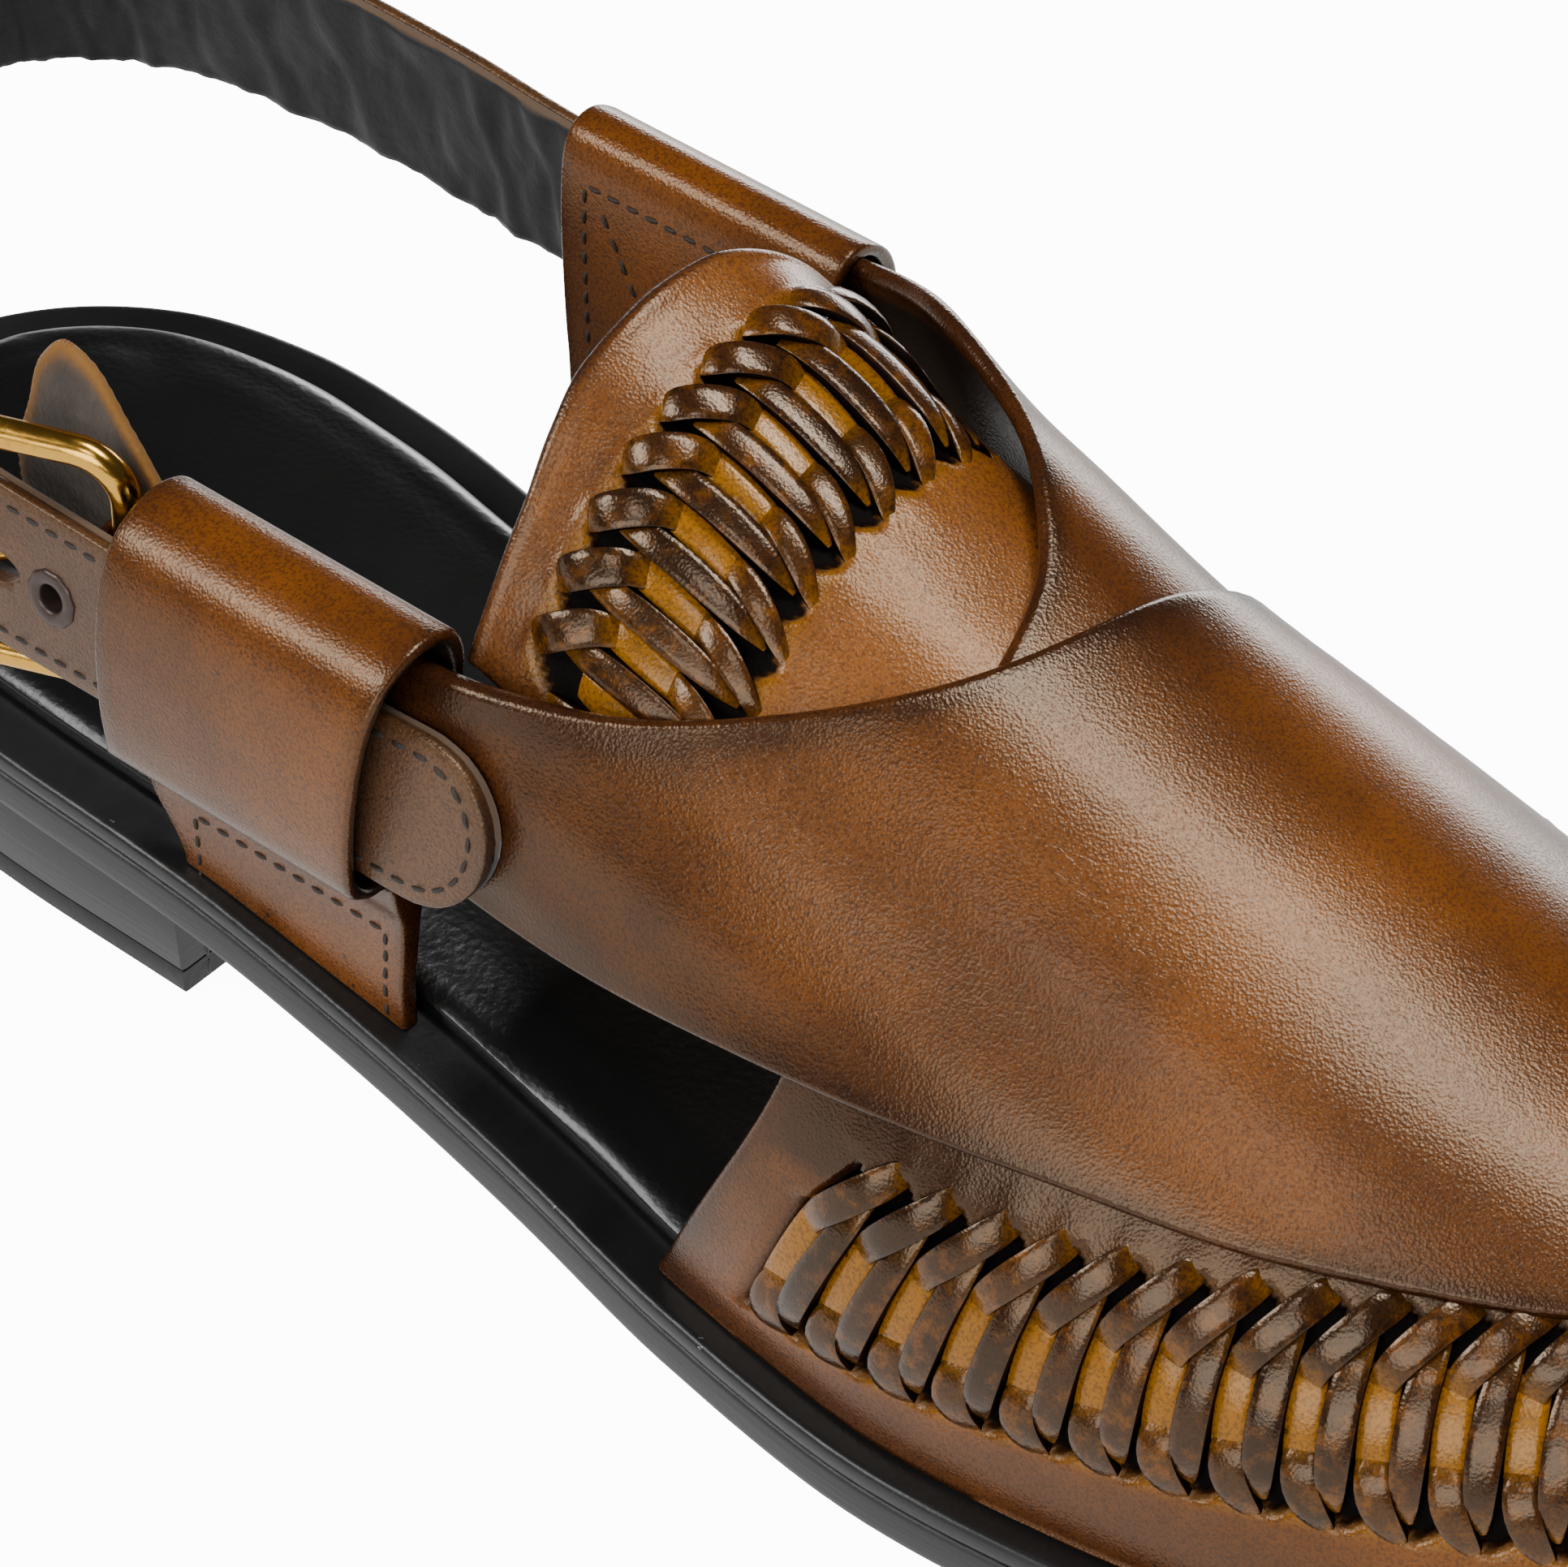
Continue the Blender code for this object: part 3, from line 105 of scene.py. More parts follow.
def curve_through(rows: Sequence[Sequence[float]], column: int, at: Array) -> Array:
    """Monotone cubic through one column of a table, against its first column.

    Args:
        rows: Table whose first column rises.
        column: Which column gives the values.
        at: Places to read, held within the table.

    Returns:
        The value at each place, with slopes that are harmonic means of the chords.
    """
    x = np.array([row[0] for row in rows])
    y = np.array([row[column] for row in rows])
    at = np.clip(np.asarray(at, float), x[0], x[-1])
    step = np.diff(x)
    slope = np.diff(y) / step
    tangent = np.concatenate(([slope[0]], np.zeros(len(x) - 2), [slope[-1]]))
    before, after = slope[:-1], slope[1:]
    same = before * after > 0
    first = 2 * step[1:] + step[:-1]
    second = step[1:] + 2 * step[:-1]
    mean = (first + second) / (first / np.where(same, before, 1.0) + second / np.where(same, after, 1.0))
    tangent[1:-1] = np.where(same, mean, 0.0)
    cell = np.clip(np.searchsorted(x, at) - 1, 0, len(x) - 2)
    wide = step[cell]
    t = (at - x[cell]) / wide
    return hermite(t, y[cell], wide * tangent[cell], y[cell + 1], wide * tangent[cell + 1])


def smooth_rows(rows: Sequence[Sequence[float]], at: Array) -> Array:
    """Cubic through whole rows of a table, against the row's number.

    Args:
        rows: Table of points.
        at: Row numbers, with fractions.

    Returns:
        One row for each place, from a cubic whose slope at a row is half of its neighbours' chord.
    """
    table = np.array(rows, float)
    at = np.clip(np.asarray(at, float), 0, len(table) - 1)
    cell = np.clip(at.astype(int), 0, len(table) - 2)
    t = (at - cell)[..., None]
    before = table[np.maximum(cell - 1, 0)]
    after = table[np.minimum(cell + 2, len(table) - 1)]
    start, end = table[cell], table[cell + 1]
    start_slope = np.where((cell == 0)[..., None], end - start, (end - before) / 2)
    end_slope = np.where((cell == len(table) - 2)[..., None], end - start, (after - start) / 2)
    return hermite(t, start, start_slope, end, end_slope)


def closed_curve(points: Array, samples: int) -> Array:
    """Cubic loop through the points, with the same number of samples on each span."""
    ahead = np.roll(points, -1, axis=0)
    span = np.linalg.norm(ahead - points, axis=1, keepdims=True)
    slope = (ahead - points) / span
    before = np.roll(span, 1, axis=0)
    tangent = (np.roll(slope, 1, axis=0) * span + slope * before) / (span + before)
    t = np.linspace(0, 1, samples, endpoint=False)[None, :, None]
    leave, arrive = tangent * span, np.roll(tangent, -1, axis=0) * span
    curve = hermite(t, points[:, None], leave[:, None], ahead[:, None], arrive[:, None])
    return curve.reshape(-1, points.shape[1])


def lengths_along(path: Array) -> Array:
    """Distance of each point of a path from its start, along the path."""
    return np.concatenate([[0.0], np.cumsum(np.linalg.norm(np.diff(path, axis=0), axis=1))])


def resampled(path: Array, count: int) -> Array:
    """Path with evenly spaced points: each coordinate is read off against the length."""
    length = lengths_along(path)
    at = np.linspace(0, length[-1], count)
    return np.stack([np.interp(at, length, path[:, axis]) for axis in range(path.shape[1])], 1)


def unit(vectors: Array) -> Array:
    """Vectors divided by their lengths."""
    return vectors / np.maximum(np.linalg.norm(vectors, axis=-1, keepdims=True), 1e-12)


def ring_normals(ring: Array) -> Array:
    """Directions square to a line across and up, out of the ring that the line goes round."""
    along = unit(np.gradient(ring, axis=0))
    normal = np.stack([along[:, 1], -along[:, 0]], 1)
    return normal * np.sign(np.sum(normal * (ring - ring.mean(0))))


def placed(side: Array, up: Array, out: Array, spot: Array) -> Matrix:
    """Place of an object at a spot, with its X, Y and Z along three directions."""
    rows = np.stack([side, up, out, spot], 1)
    return Matrix((*[tuple(map(float, row)) for row in rows], (0, 0, 0, 1)))


def ripple(place: Array, waves: Sequence[tuple[float, float, float, float]]) -> Array:
    """Sum of sines over the plane: each wave has a height, two frequencies and a phase."""
    total = np.zeros(place.shape[:-1])
    for height, first, second, phase in waves:
        total = total + height * np.sin(first * place[..., 0] + second * place[..., 1] + phase)
    return total


# ---------------------------------------------------------------- mesh building


class Skin:
    """Gathers grids of points into one mesh whose faces point outwards."""

    def __init__(self) -> None:
        """Start with no points and no faces."""
        self.points: list[Array] = []
        self.faces: list[list[int]] = []
        self.marks: list[Marks] = []
        self.count = 0

    def grid(self, points: Array, wrap: bool = False, marks: Marks | None = None) -> Array:
        """Add a grid of points with a face in each cell.

        Args:
            points: Rows by columns by three coordinates.
            wrap: Whether the last column joins the first.
            marks: Named values of each point, from 0 to 1.

        Returns:
            The number of each point of the grid.
        """
        rows, columns = points.shape[:2]
        index = self.count + np.arange(rows * columns).reshape(rows, columns)
        self.points.append(points.reshape(-1, 3))
        self.keep_marks((rows, columns), marks)
        self.count += rows * columns
        now = index if wrap else index[:, :-1]
        ahead = np.roll(index, -1, 1) if wrap else index[:, 1:]
        self.faces += np.stack([now[:-1], ahead[:-1], ahead[1:], now[1:]], -1).reshape(-1, 4).tolist()
        return index

    def keep_marks(self, shape: tuple, marks: Marks | None) -> None:
        """Keep the named values of the points added last, spread over their shape."""
        shown = (marks or {}).items()
        self.marks.append({name: np.broadcast_to(value, shape).ravel() for name, value in shown})

    def ring(self, points: Array) -> None:
        """Add a grid that wraps both ways, as a tube whose two ends meet."""
        index = self.grid(points, True)
        last, first = index[-1], index[0]
        self.faces += np.stack([last, np.roll(last, -1), np.roll(first, -1), first], 1).tolist()

    def tube(self, points: Array, marks: Marks | None = None) -> None:
        """Add a grid that wraps round its columns, with a flat cap on each end."""
        self.tubes(points[None], marks)

    def tubes(self, points: Array, marks: Marks | None = None) -> None:
        """Add many short tubes at once: number, rows, columns and coordinates."""
        number, rows, columns = points.shape[:3]
        index = self.count + np.arange(number * rows * columns).reshape(number, rows, columns)
        self.points.append(points.reshape(-1, 3))
        self.keep_marks((number, rows, columns), marks)
        self.count += number * rows * columns
        ahead = np.roll(index, -1, 2)
        cells = np.stack([index[:, :-1], ahead[:, :-1], ahead[:, 1:], index[:, 1:]], -1)
        self.faces += cells.reshape(-1, 4).tolist()
        self.faces += index[:, 0, ::-1].tolist() + index[:, -1].tolist()

    def volume(self, points: Array) -> float:
        """Signed volume: the sum over fan triangles of their corners' triple product, by six."""
        total = 0.0
        for size in {len(face) for face in self.faces}:
            table = np.array([face for face in self.faces if len(face) == size])
            for corner in range(1, size - 1):
                first, second, third = (points[table[:, k]] for k in (0, corner, corner + 1))
                total += float(np.einsum("ij,ij->i", first, np.cross(second, third)).sum())
        return total / 6

    def finish(
        self,
        name: str,
        material: bpy.types.Material,
        slot: str,
        replaces: Sequence[str] = (),
        sharp: float | None = None,
        outward: bool = True,
    ) -> bpy.types.Object:
        """Make the object, turn its faces outwards and let it ride on the shoe.

        Args:
            name: Piece name.
            material: Its finish.
            slot: Material slot of the record; not used.
            replaces: CAD nodes that it stands for.
            sharp: Angle in degrees past which an edge stays sharp, or None for all smooth.
            outward: Whether to turn the faces by the signed volume.

        Returns:
            The object, at the origin, with its place in its mesh.
        """
        points = np.concatenate(self.points) - (0, HEEL_MIDDLE, 0)
        faces = self.faces
        if outward and self.volume(points) < 0:
            faces = [face[::-1] for face in faces]
        mesh = bpy.data.meshes.new(name)
        mesh.from_pydata(points.tolist(), [], faces)
        for mark in sorted({key for part in self.marks for key in part}):
            sizes = [len(part) for part in self.points]
            values = [part.get(mark, np.zeros(size)) for part, size in zip(self.marks, sizes)]
            layer = mesh.attributes.new(mark, "FLOAT", "POINT")
            layer.data.foreach_set("value", np.concatenate(values).astype(np.float32))
        mesh.shade_smooth()
        if sharp is not None:
            mesh.set_sharp_from_angle(angle=math.radians(sharp))
        mesh.materials.append(material)
        made = bpy.data.objects.new(name, mesh)
        bpy.context.scene.collection.objects.link(made)
        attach(made, "root")
        if replaces:
            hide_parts(*replaces)
        LOG.info("%s: %d points, %d faces", name, len(points), len(faces))
        return made


def sweep(path: Array, normals: Array, radius: Array | float, sides: int, squash: float = 1.0) -> Array:
    """Rings of a round bar along a path.

    Args:
        path: Centre line.
        normals: A direction square to the path at each point.
        radius: Radius of the bar, for all points or for each.
        sides: Points round the bar.
        squash: Height of the section along the normal, as a share of its width.

    Returns:
        Rings of points: centre, plus radius times cosine along the side and sine along the normal.
    """
    along = unit(np.gradient(path, axis=0))
    normals = unit(normals - along * np.sum(normals * along, 1, keepdims=True))
    side = np.cross(along, normals)
    turn = np.linspace(0, 2 * math.pi, sides, endpoint=False)
    radius = np.reshape(np.broadcast_to(radius, (len(path),)), (-1, 1, 1))
    cosine, sine = np.cos(turn)[None, :, None], np.sin(turn)[None, :, None]
    ring = cosine * side[:, None] + squash * sine * normals[:, None]
    return path[:, None] + radius * ring


@dataclass(frozen=True)
class StitchRun:
    """A row of thread stitches along a path."""

    pitch: float = 2.7 * MM
    share: float = 0.74
    radius: float = 0.27 * MM
    sink: float = 0.04 * MM

    def add(self, skin: Skin, path: Array, normals: Array) -> None:
        """Add one stitch a pitch: each is a bar that swells in its middle and dips at its ends."""
        length = lengths_along(path)
        number = max(1, int(round(length[-1] / self.pitch)))
        pitch = length[-1] / number
        t = np.linspace(-1, 1, 7)
        at = (np.arange(number)[:, None] + 0.5 + t[None] * self.share / 2) * pitch
        spots = np.stack([np.interp(at, length, path[:, axis]) for axis in range(3)], -1)
        facing = unit(np.stack([np.interp(at, length, normals[:, axis]) for axis in range(3)], -1))
        spots = spots + facing * (self.radius * (0.35 - 0.9 * t**2)[None, :, None] - self.sink)
        along = unit(np.gradient(spots, axis=1))
        side = unit(np.cross(along, facing))
        turn = np.linspace(0, 2 * math.pi, 7, endpoint=False)
        radius = self.radius * (1 - 0.55 * t**4)[None, :, None, None]
        ring = np.cos(turn)[:, None] * side[:, :, None] + np.sin(turn)[:, None] * facing[:, :, None]
        skin.tubes(spots[:, :, None] + radius * ring)


# ---------------------------------------------------------------- shader maths


class Signal:
    """A shader socket that can stand in sums and products."""

    def __init__(self, paint: "Paint", socket: bpy.types.NodeSocket) -> None:
        """Hold the socket and the finish that it belongs to."""
        self.paint = paint
        self.socket = socket

    def _with(self, operation: str, other: "Signal | float", swap: bool = False) -> "Signal":
        """Add one Math node on this signal and another."""
        pair = {0: other, 1: self} if swap else {0: self, 1: other}
        return self.paint.node("ShaderNodeMath", {"operation": operation}, pair)

    def __add__(self, other: "Signal | float") -> "Signal":
        """Sum of the two."""
        return self._with("ADD", other)

    def __sub__(self, other: "Signal | float") -> "Signal":
        """This less the other."""
        return self._with("SUBTRACT", other)

    def __rsub__(self, other: float) -> "Signal":
        """A number less this."""
        return self._with("SUBTRACT", other, True)

    def __mul__(self, other: "Signal | float") -> "Signal":
        """Product of the two."""
        return self._with("MULTIPLY", other)

    __radd__ = __add__
    __rmul__ = __mul__

    def __abs__(self) -> "Signal":
        """This without its sign."""
        return self._with("ABSOLUTE", 0.0)

    def held(self) -> "Signal":
        """This, held between 0 and 1."""
        settings = {"operation": "ADD", "use_clamp": True}
        return self.paint.node("ShaderNodeMath", settings, {0: self, 1: 0.0})


class Paint:
    """One node tree, with one way to add any node."""

    def __init__(self, tree: bpy.types.NodeTree) -> None:
        """Empty the tree."""
        self.tree = tree
        self.tree.nodes.clear()

    @classmethod
    def coat(cls, name: str) -> "Paint":
        """Tree of a new material."""
        material = bpy.data.materials.new(name)
        material.use_nodes = True
        paint = cls(material.node_tree)
        paint.material = material
        paint.place = paint.node("ShaderNodeTexCoord", {}, {}, "Object")
        return paint

    def finish(self, shader: Signal, kind: str = "ShaderNodeOutputMaterial") -> None:
        """Send a shader to an output of a kind."""
        self.tree.links.new(shader.socket, self.tree.nodes.new(kind).inputs["Surface"])

    def node(self, kind: str, settings: dict, inputs: dict, output: int | str = 0) -> Signal:
        """Add one node.

        Args:
            kind: Blender's name of the node type.
            settings: Attributes that are set first; stops are a ramp's places and colours.
            inputs: Values or signals of its sockets, by name or number.
            output: Name or number of the socket to return.

        Returns:
            That socket as a signal.
        """
        made = self.tree.nodes.new(kind)
        for key, value in settings.items():
            if key == "stops":
                for number, (place, colour) in enumerate(value):
                    stops = made.color_ramp.elements
                    stop = stops[number] if number < 2 else stops.new(place)
                    stop.position = place
                    stop.color = (*colour, 1.0)
            else:
                setattr(made, key, value)
        for key, value in inputs.items():
            socket = made.inputs[key]
            if isinstance(value, Signal):
                self.tree.links.new(value.socket, socket)
            elif isinstance(value, tuple) and socket.type == "RGBA":
                socket.default_value = (*value, 1.0)
            else:
                socket.default_value = value
        return Signal(self, made.outputs[output])

    def noise(
        self, scale: float, detail: float = 3.0, rough: float = 0.55, stretch: Colour | None = None
    ) -> Signal:
        """Noise over the object, with cells of one over the scale in metres."""
        place = self.place
        if stretch is not None:
            place = self.node("ShaderNodeMapping", {}, {"Vector": place, "Scale": stretch})
        sockets = {"Vector": place, "Scale": scale, "Detail": detail, "Roughness": rough}
        return self.node("ShaderNodeTexNoise", {}, sockets, "Fac")

    def cells(self, scale: float) -> Signal:
        """Distance to the nearest cell centre."""
        return self.node("ShaderNodeTexVoronoi", {}, {"Vector": self.place, "Scale": scale}, "Distance")

    def mark(self, name: str) -> Signal:
        """A named value of the mesh, 0 where the mesh has none."""
        return self.node("ShaderNodeAttribute", {"attribute_name": name}, {}, "Fac")

    def rise(self, signal: Signal, low: float, high: float) -> Signal:
        """Smooth step of a signal between two values."""
        sockets = {"Value": signal, "From Min": low, "From Max": high}
        return self.node("ShaderNodeMapRange", {"interpolation_type": "SMOOTHSTEP"}, sockets, "Result")

    def mix(self, share: Signal | float, first: Signal | Colour, second: Signal | Colour) -> Signal:
        """Colour between two, by share."""
        return self.node("ShaderNodeMix", {"data_type": "RGBA"}, {0: share, 6: first, 7: second}, 2)

    def bump(self, height: Signal, depth: float) -> Signal:
        """Normal bent by a height signal of a depth in metres."""
        sockets = {"Height": height, "Distance": depth, "Strength": 1.0}
        return self.node("ShaderNodeBump", {}, sockets, "Normal")

    def shade(self, **sockets: Signal | float | Colour) -> bpy.types.Material:
        """Send everything to one Principled shader and return the material."""
        named = {key.replace("_", " "): value for key, value in sockets.items()}
        self.finish(self.node("ShaderNodeBsdfPrincipled", {}, named, "BSDF"))
        return self.material


@dataclass(frozen=True)
class BurnishedLeather:
    """Hand-burnished vegetable leather: light grain, dark specks, dark at edges and seams, with painted shade
    where the mesh marks it.

    The mesh marks tone for burnishing and for painted shade under an overlapping strap, ochre for pale
    strips, cut for black cut edges and for painted shade in the weave's slots, inner for the flesh side
    and crease for fine crossing creases, whose lines are also drawn darker as painted shade.
    """

    name: str
    light: Colour
    middle: Colour
    dark: Colour
    roughness: float = 0.19
    coat: float = 0.04
    grain: float = 0.055 * MM
    mottle: float = 0.10

    def make(self) -> bpy.types.Material:
        """Build the material."""
        paint = Paint.coat(self.name)
        cloud = paint.rise(paint.noise(34, 3, 0.5), 0.34, 0.68)
        fine = paint.noise(2600, 3, 0.62)
        pebble = paint.cells(2800)
        tone = paint.mark("tone")
        uneven = paint.noise(130, 4, 0.6)
        # the tone mark holds burnishing and, on the inner strap under the outer strap's edge, painted shade
        darkening = (tone * (0.55 + uneven * 0.9)).held()
        colour = paint.mix(cloud, self.middle, self.light)
        spot = paint.rise(paint.noise(430, 4, 0.62), 0.46, 0.66) * self.mottle
        colour = paint.mix(spot, colour, (0.28, 0.088, 0.007))
        colour = paint.mix(paint.mark("ochre"), colour, (0.33, 0.125, 0.004))
        speck = paint.rise(fine, 0.47, 0.60) * (0.42 + 0.25 * darkening)
        colour = paint.mix(speck, colour, self.dark)
        colour = paint.mix(darkening * 0.88, colour, self.dark)
        stain = paint.rise(paint.noise(240, 5, 0.65), 0.60, 0.78) * 0.35
        colour = paint.mix(stain, colour, (0.035, 0.022, 0.020))
        pore = 1 - paint.rise(paint.cells(170), 0.035, 0.06)
        colour = paint.mix(pore * 0.7, colour, (0.012, 0.008, 0.008))
        wrinkle = paint.noise(260, 3, 0.6, (1.0, 0.45, 1.0))
        crease = (1 - paint.rise(abs(wrinkle - 0.5), 0.0, 0.035)) * paint.mark("crease")
        # painted shade: the crease lines are drawn 12 percent darker
        colour = paint.mix(crease * 0.12, colour, self.dark)
        colour = paint.mix(paint.mark("inner"), colour, (0.030, 0.020, 0.014))
        # the cut mark is the strips' black cut edges plus painted shade in the weave's slots
        black = paint.mark("cut").held()
        colour = paint.mix(black, colour, (0.009, 0.007, 0.007))
        relief = fine * 0.7 + pebble * 0.6 - crease * 0.3 + uneven * 0.5
        rough = self.roughness + fine * 0.10 - darkening * 0.04 + black * 0.40
        return paint.shade(
            Base_Color=colour,
            Roughness=rough,
            Metallic=paint.rise(black, 0.45, 0.75),
            Coat_Weight=self.coat * (1 - black),
            Coat_Roughness=0.16,
            Specular_IOR_Level=0.6,
            Specular_Tint=(1.0, 0.74, 0.50),
            Normal=paint.bump(relief, self.grain),
        )


@dataclass(frozen=True)
class BlackSuede:
    """Wrinkled black suede lining with a dusty nap."""

    name: str = "black_suede_lining"

    def make(self) -> bpy.types.Material:
        """Build the material."""
        paint = Paint.coat(self.name)
        nap = paint.noise(900, 4, 0.7)
        worn = paint.rise(paint.noise(120, 5, 0.65), 0.42, 0.72)
        colour = paint.mix(worn, (0.004, 0.004, 0.0045), (0.017, 0.0165, 0.017))
        colour = paint.mix(paint.mark("ochre"), colour, (0.20, 0.11, 0.05))
        relief = nap * 0.5 + paint.noise(75, 3, 0.5, (1.0, 1.0, 0.45)) * 4.0
        return paint.shade(
            Base_Color=colour,
            Roughness=0.74 + nap * 0.15,
            Sheen_Weight=0.25,
            Sheen_Roughness=0.5,
            Normal=paint.bump(relief, 0.20 * MM),
        )


@dataclass(frozen=True)
class GlossBlackLeather:
    """Smooth black footbed leather with a polished skin."""

    name: str = "black_footbed_leather"

    def make(self) -> bpy.types.Material:
        """Build the material."""
        paint = Paint.coat(self.name)
        grain = paint.noise(1300, 2, 0.5) + paint.cells(900) * 0.5
        dust = paint.rise(paint.noise(2600, 2, 0.5), 0.70, 0.80)
        colour = paint.mix(dust * 0.5, (0.004, 0.004, 0.004), (0.03, 0.03, 0.03))
        soft = paint.noise(60, 3, 0.5)
        return paint.shade(
            Base_Color=colour,
            Roughness=0.24 + soft * 0.16,
            Coat_Weight=0.15 + grain * 0.1,
            Coat_Roughness=0.12,
            Normal=paint.bump(grain, 0.05 * MM),
        )


@dataclass(frozen=True)
class WaxedEdge:
    """Dyed and waxed sole leather: faint lines along the edge and small pale nicks."""

    name: str
    base: Colour = (0.012, 0.012, 0.0125)
    roughness: float = 0.36

    def make(self) -> bpy.types.Material:
        """Build the material."""
        paint = Paint.coat(self.name)
        lines = paint.noise(60, 4, 0.6, (1.0, 1.0, 26.0))
        nick = paint.rise(paint.noise(700, 3, 0.6), 0.70, 0.76) * paint.mark("rim")
        colour = paint.mix(lines * 0.5, self.base, (0.026, 0.026, 0.027))
        colour = paint.mix(paint.mark("cut"), colour, (0.004, 0.004, 0.004))
        colour = paint.mix(nick * 0.7, colour, (0.45, 0.45, 0.45))
        relief = lines + paint.noise(1400, 2, 0.5) * 0.4
        return paint.shade(
            Base_Color=colour,
            Roughness=self.roughness + lines * 0.14 + nick * 0.2,
            Specular_IOR_Level=0.5,
            Normal=paint.bump(relief, 0.06 * MM),
        )


@dataclass(frozen=True)
class Rubber:
    """Matt black rubber with a fine moulded grain."""

    name: str = "black_heel_rubber"

    def make(self) -> bpy.types.Material:
        """Build the material."""
        paint = Paint.coat(self.name)
        grain = paint.noise(1100, 3, 0.6)
        scuff = paint.rise(paint.noise(90, 4, 0.6), 0.5, 0.75)
        colour = paint.mix(scuff, (0.018, 0.018, 0.018), (0.040, 0.040, 0.041))
        bump = paint.bump(grain, 0.08 * MM)
        return paint.shade(Base_Color=colour, Roughness=0.5 + grain * 0.2, Normal=bump)


@dataclass(frozen=True)
class PolishedMetal:
    """Metal with fine scratches, darker in its tarnished spots."""

    name: str
    bright: Colour
    tarnish: Colour
    roughness: float
    metallic: float = 1.0

    def make(self) -> bpy.types.Material:
        """Build the material."""
        paint = Paint.coat(self.name)
        spots = paint.rise(paint.noise(260, 4, 0.6), 0.50, 0.78)
        scratch = paint.noise(1600, 2, 0.6, (1.0, 0.12, 1.0))
        colour = paint.mix(spots * 0.75, self.bright, self.tarnish)
        return paint.shade(
            Base_Color=colour,
            Metallic=self.metallic,
            Roughness=self.roughness + spots * 0.16 + scratch * 0.06,
            Normal=paint.bump(scratch, 0.02 * MM),
        )


@dataclass(frozen=True)
class WaxedThread:
    """Dark waxed thread, twisted."""

    name: str = "dark_waxed_thread"

    def make(self) -> bpy.types.Material:
        """Build the material."""
        paint = Paint.coat(self.name)
        twist = paint.noise(2600, 2, 0.5)
        colour = paint.mix(twist, (0.010, 0.007, 0.006), (0.040, 0.026, 0.018))
        bump = paint.bump(twist, 0.1 * MM)
        return paint.shade(Base_Color=colour, Roughness=0.55 + twist * 0.15, Normal=bump)


@dataclass(frozen=True)
class RawLeather:
    """Grey flesh side of the guard, with a golden fuzzy cut edge."""

    name: str = "raw_guard_leather"

    def make(self) -> bpy.types.Material:
        """Build the material."""
        paint = Paint.coat(self.name)
        nap = paint.noise(1000, 4, 0.7)
        cloud = paint.rise(paint.noise(110, 4, 0.6), 0.35, 0.7)
        colour = paint.mix(cloud, (0.045, 0.034, 0.027), (0.095, 0.078, 0.064))
        edge = (paint.mark("ochre") * (0.7 + nap * 0.5)).held()
        colour = paint.mix(edge, colour, (0.24, 0.105, 0.016))
        return paint.shade(
            Base_Color=colour,
            Roughness=0.80 + nap * 0.1,
            Sheen_Weight=0.3,
            Sheen_Roughness=0.4,
            Normal=paint.bump(nap, 0.22 * MM),
        )


@dataclass(frozen=True)
class StudioFloor:
    """Plain pale floor."""

    name: str = "pale_floor"
    glow: float = 12.0

    def make(self) -> bpy.types.Material:
        """Build the material."""
        paint = Paint.coat(self.name)
        speck = paint.noise(300, 2, 0.5)
        return paint.shade(
            Base_Color=(0.93, 0.93, 0.93),
            Roughness=0.75 + speck * 0.05,
            Emission_Color=(1.0, 1.0, 1.0),
            Emission_Strength=self.glow,
        )


@dataclass(frozen=True)
class Finishes:
    """Every material of the shoe, made once."""

    cognac: bpy.types.Material
    tongue: bpy.types.Material
    strips: bpy.types.Material
    strap: bpy.types.Material
    lining: bpy.types.Material
    footbed: bpy.types.Material
    edge: bpy.types.Material
    welt: bpy.types.Material
    rubber: bpy.types.Material
    brass: bpy.types.Material
    eyelet: bpy.types.Material
    thread: bpy.types.Material
    raw: bpy.types.Material

    @classmethod
    def make(cls) -> "Finishes":
        """Build all of them."""
        return cls(
            cognac=BurnishedLeather(
                "burnished_cognac", (0.235, 0.070, 0.009), (0.110, 0.032, 0.006), (0.020, 0.007, 0.004)
            ).make(),
            tongue=BurnishedLeather(
                "burnished_tongue", (0.270, 0.088, 0.016), (0.125, 0.040, 0.010), (0.020, 0.008, 0.006),
                coat=0.05, mottle=0.25,
            ).make(),
            strips=BurnishedLeather(
                "burnished_strips", (0.070, 0.020, 0.005), (0.018, 0.006, 0.004), (0.006, 0.003, 0.003),
                roughness=0.16, coat=0.10, grain=0.035 * MM, mottle=0.50,
            ).make(),
            strap=BurnishedLeather(
                "burnished_heel_strap", (0.130, 0.064, 0.033), (0.085, 0.042, 0.025), (0.022, 0.011, 0.009),
                roughness=0.32, coat=0.10, grain=0.08 * MM,
            ).make(),
            lining=BlackSuede().make(),
            footbed=GlossBlackLeather().make(),
            edge=WaxedEdge("waxed_sole_edge").make(),
            welt=WaxedEdge("waxed_welt", (0.006, 0.006, 0.006), 0.28).make(),
            rubber=Rubber().make(),
            brass=PolishedMetal("polished_brass", (0.80, 0.44, 0.075), (0.38, 0.17, 0.03), 0.16).make(),
            eyelet=PolishedMetal(
                "dark_eyelet_metal", (0.075, 0.052, 0.044), (0.035, 0.022, 0.018), 0.34, 0.6
            ).make(),
            thread=WaxedThread().make(),
            raw=RawLeather().make(),
        )


# ---------------------------------------------------------------- the sole


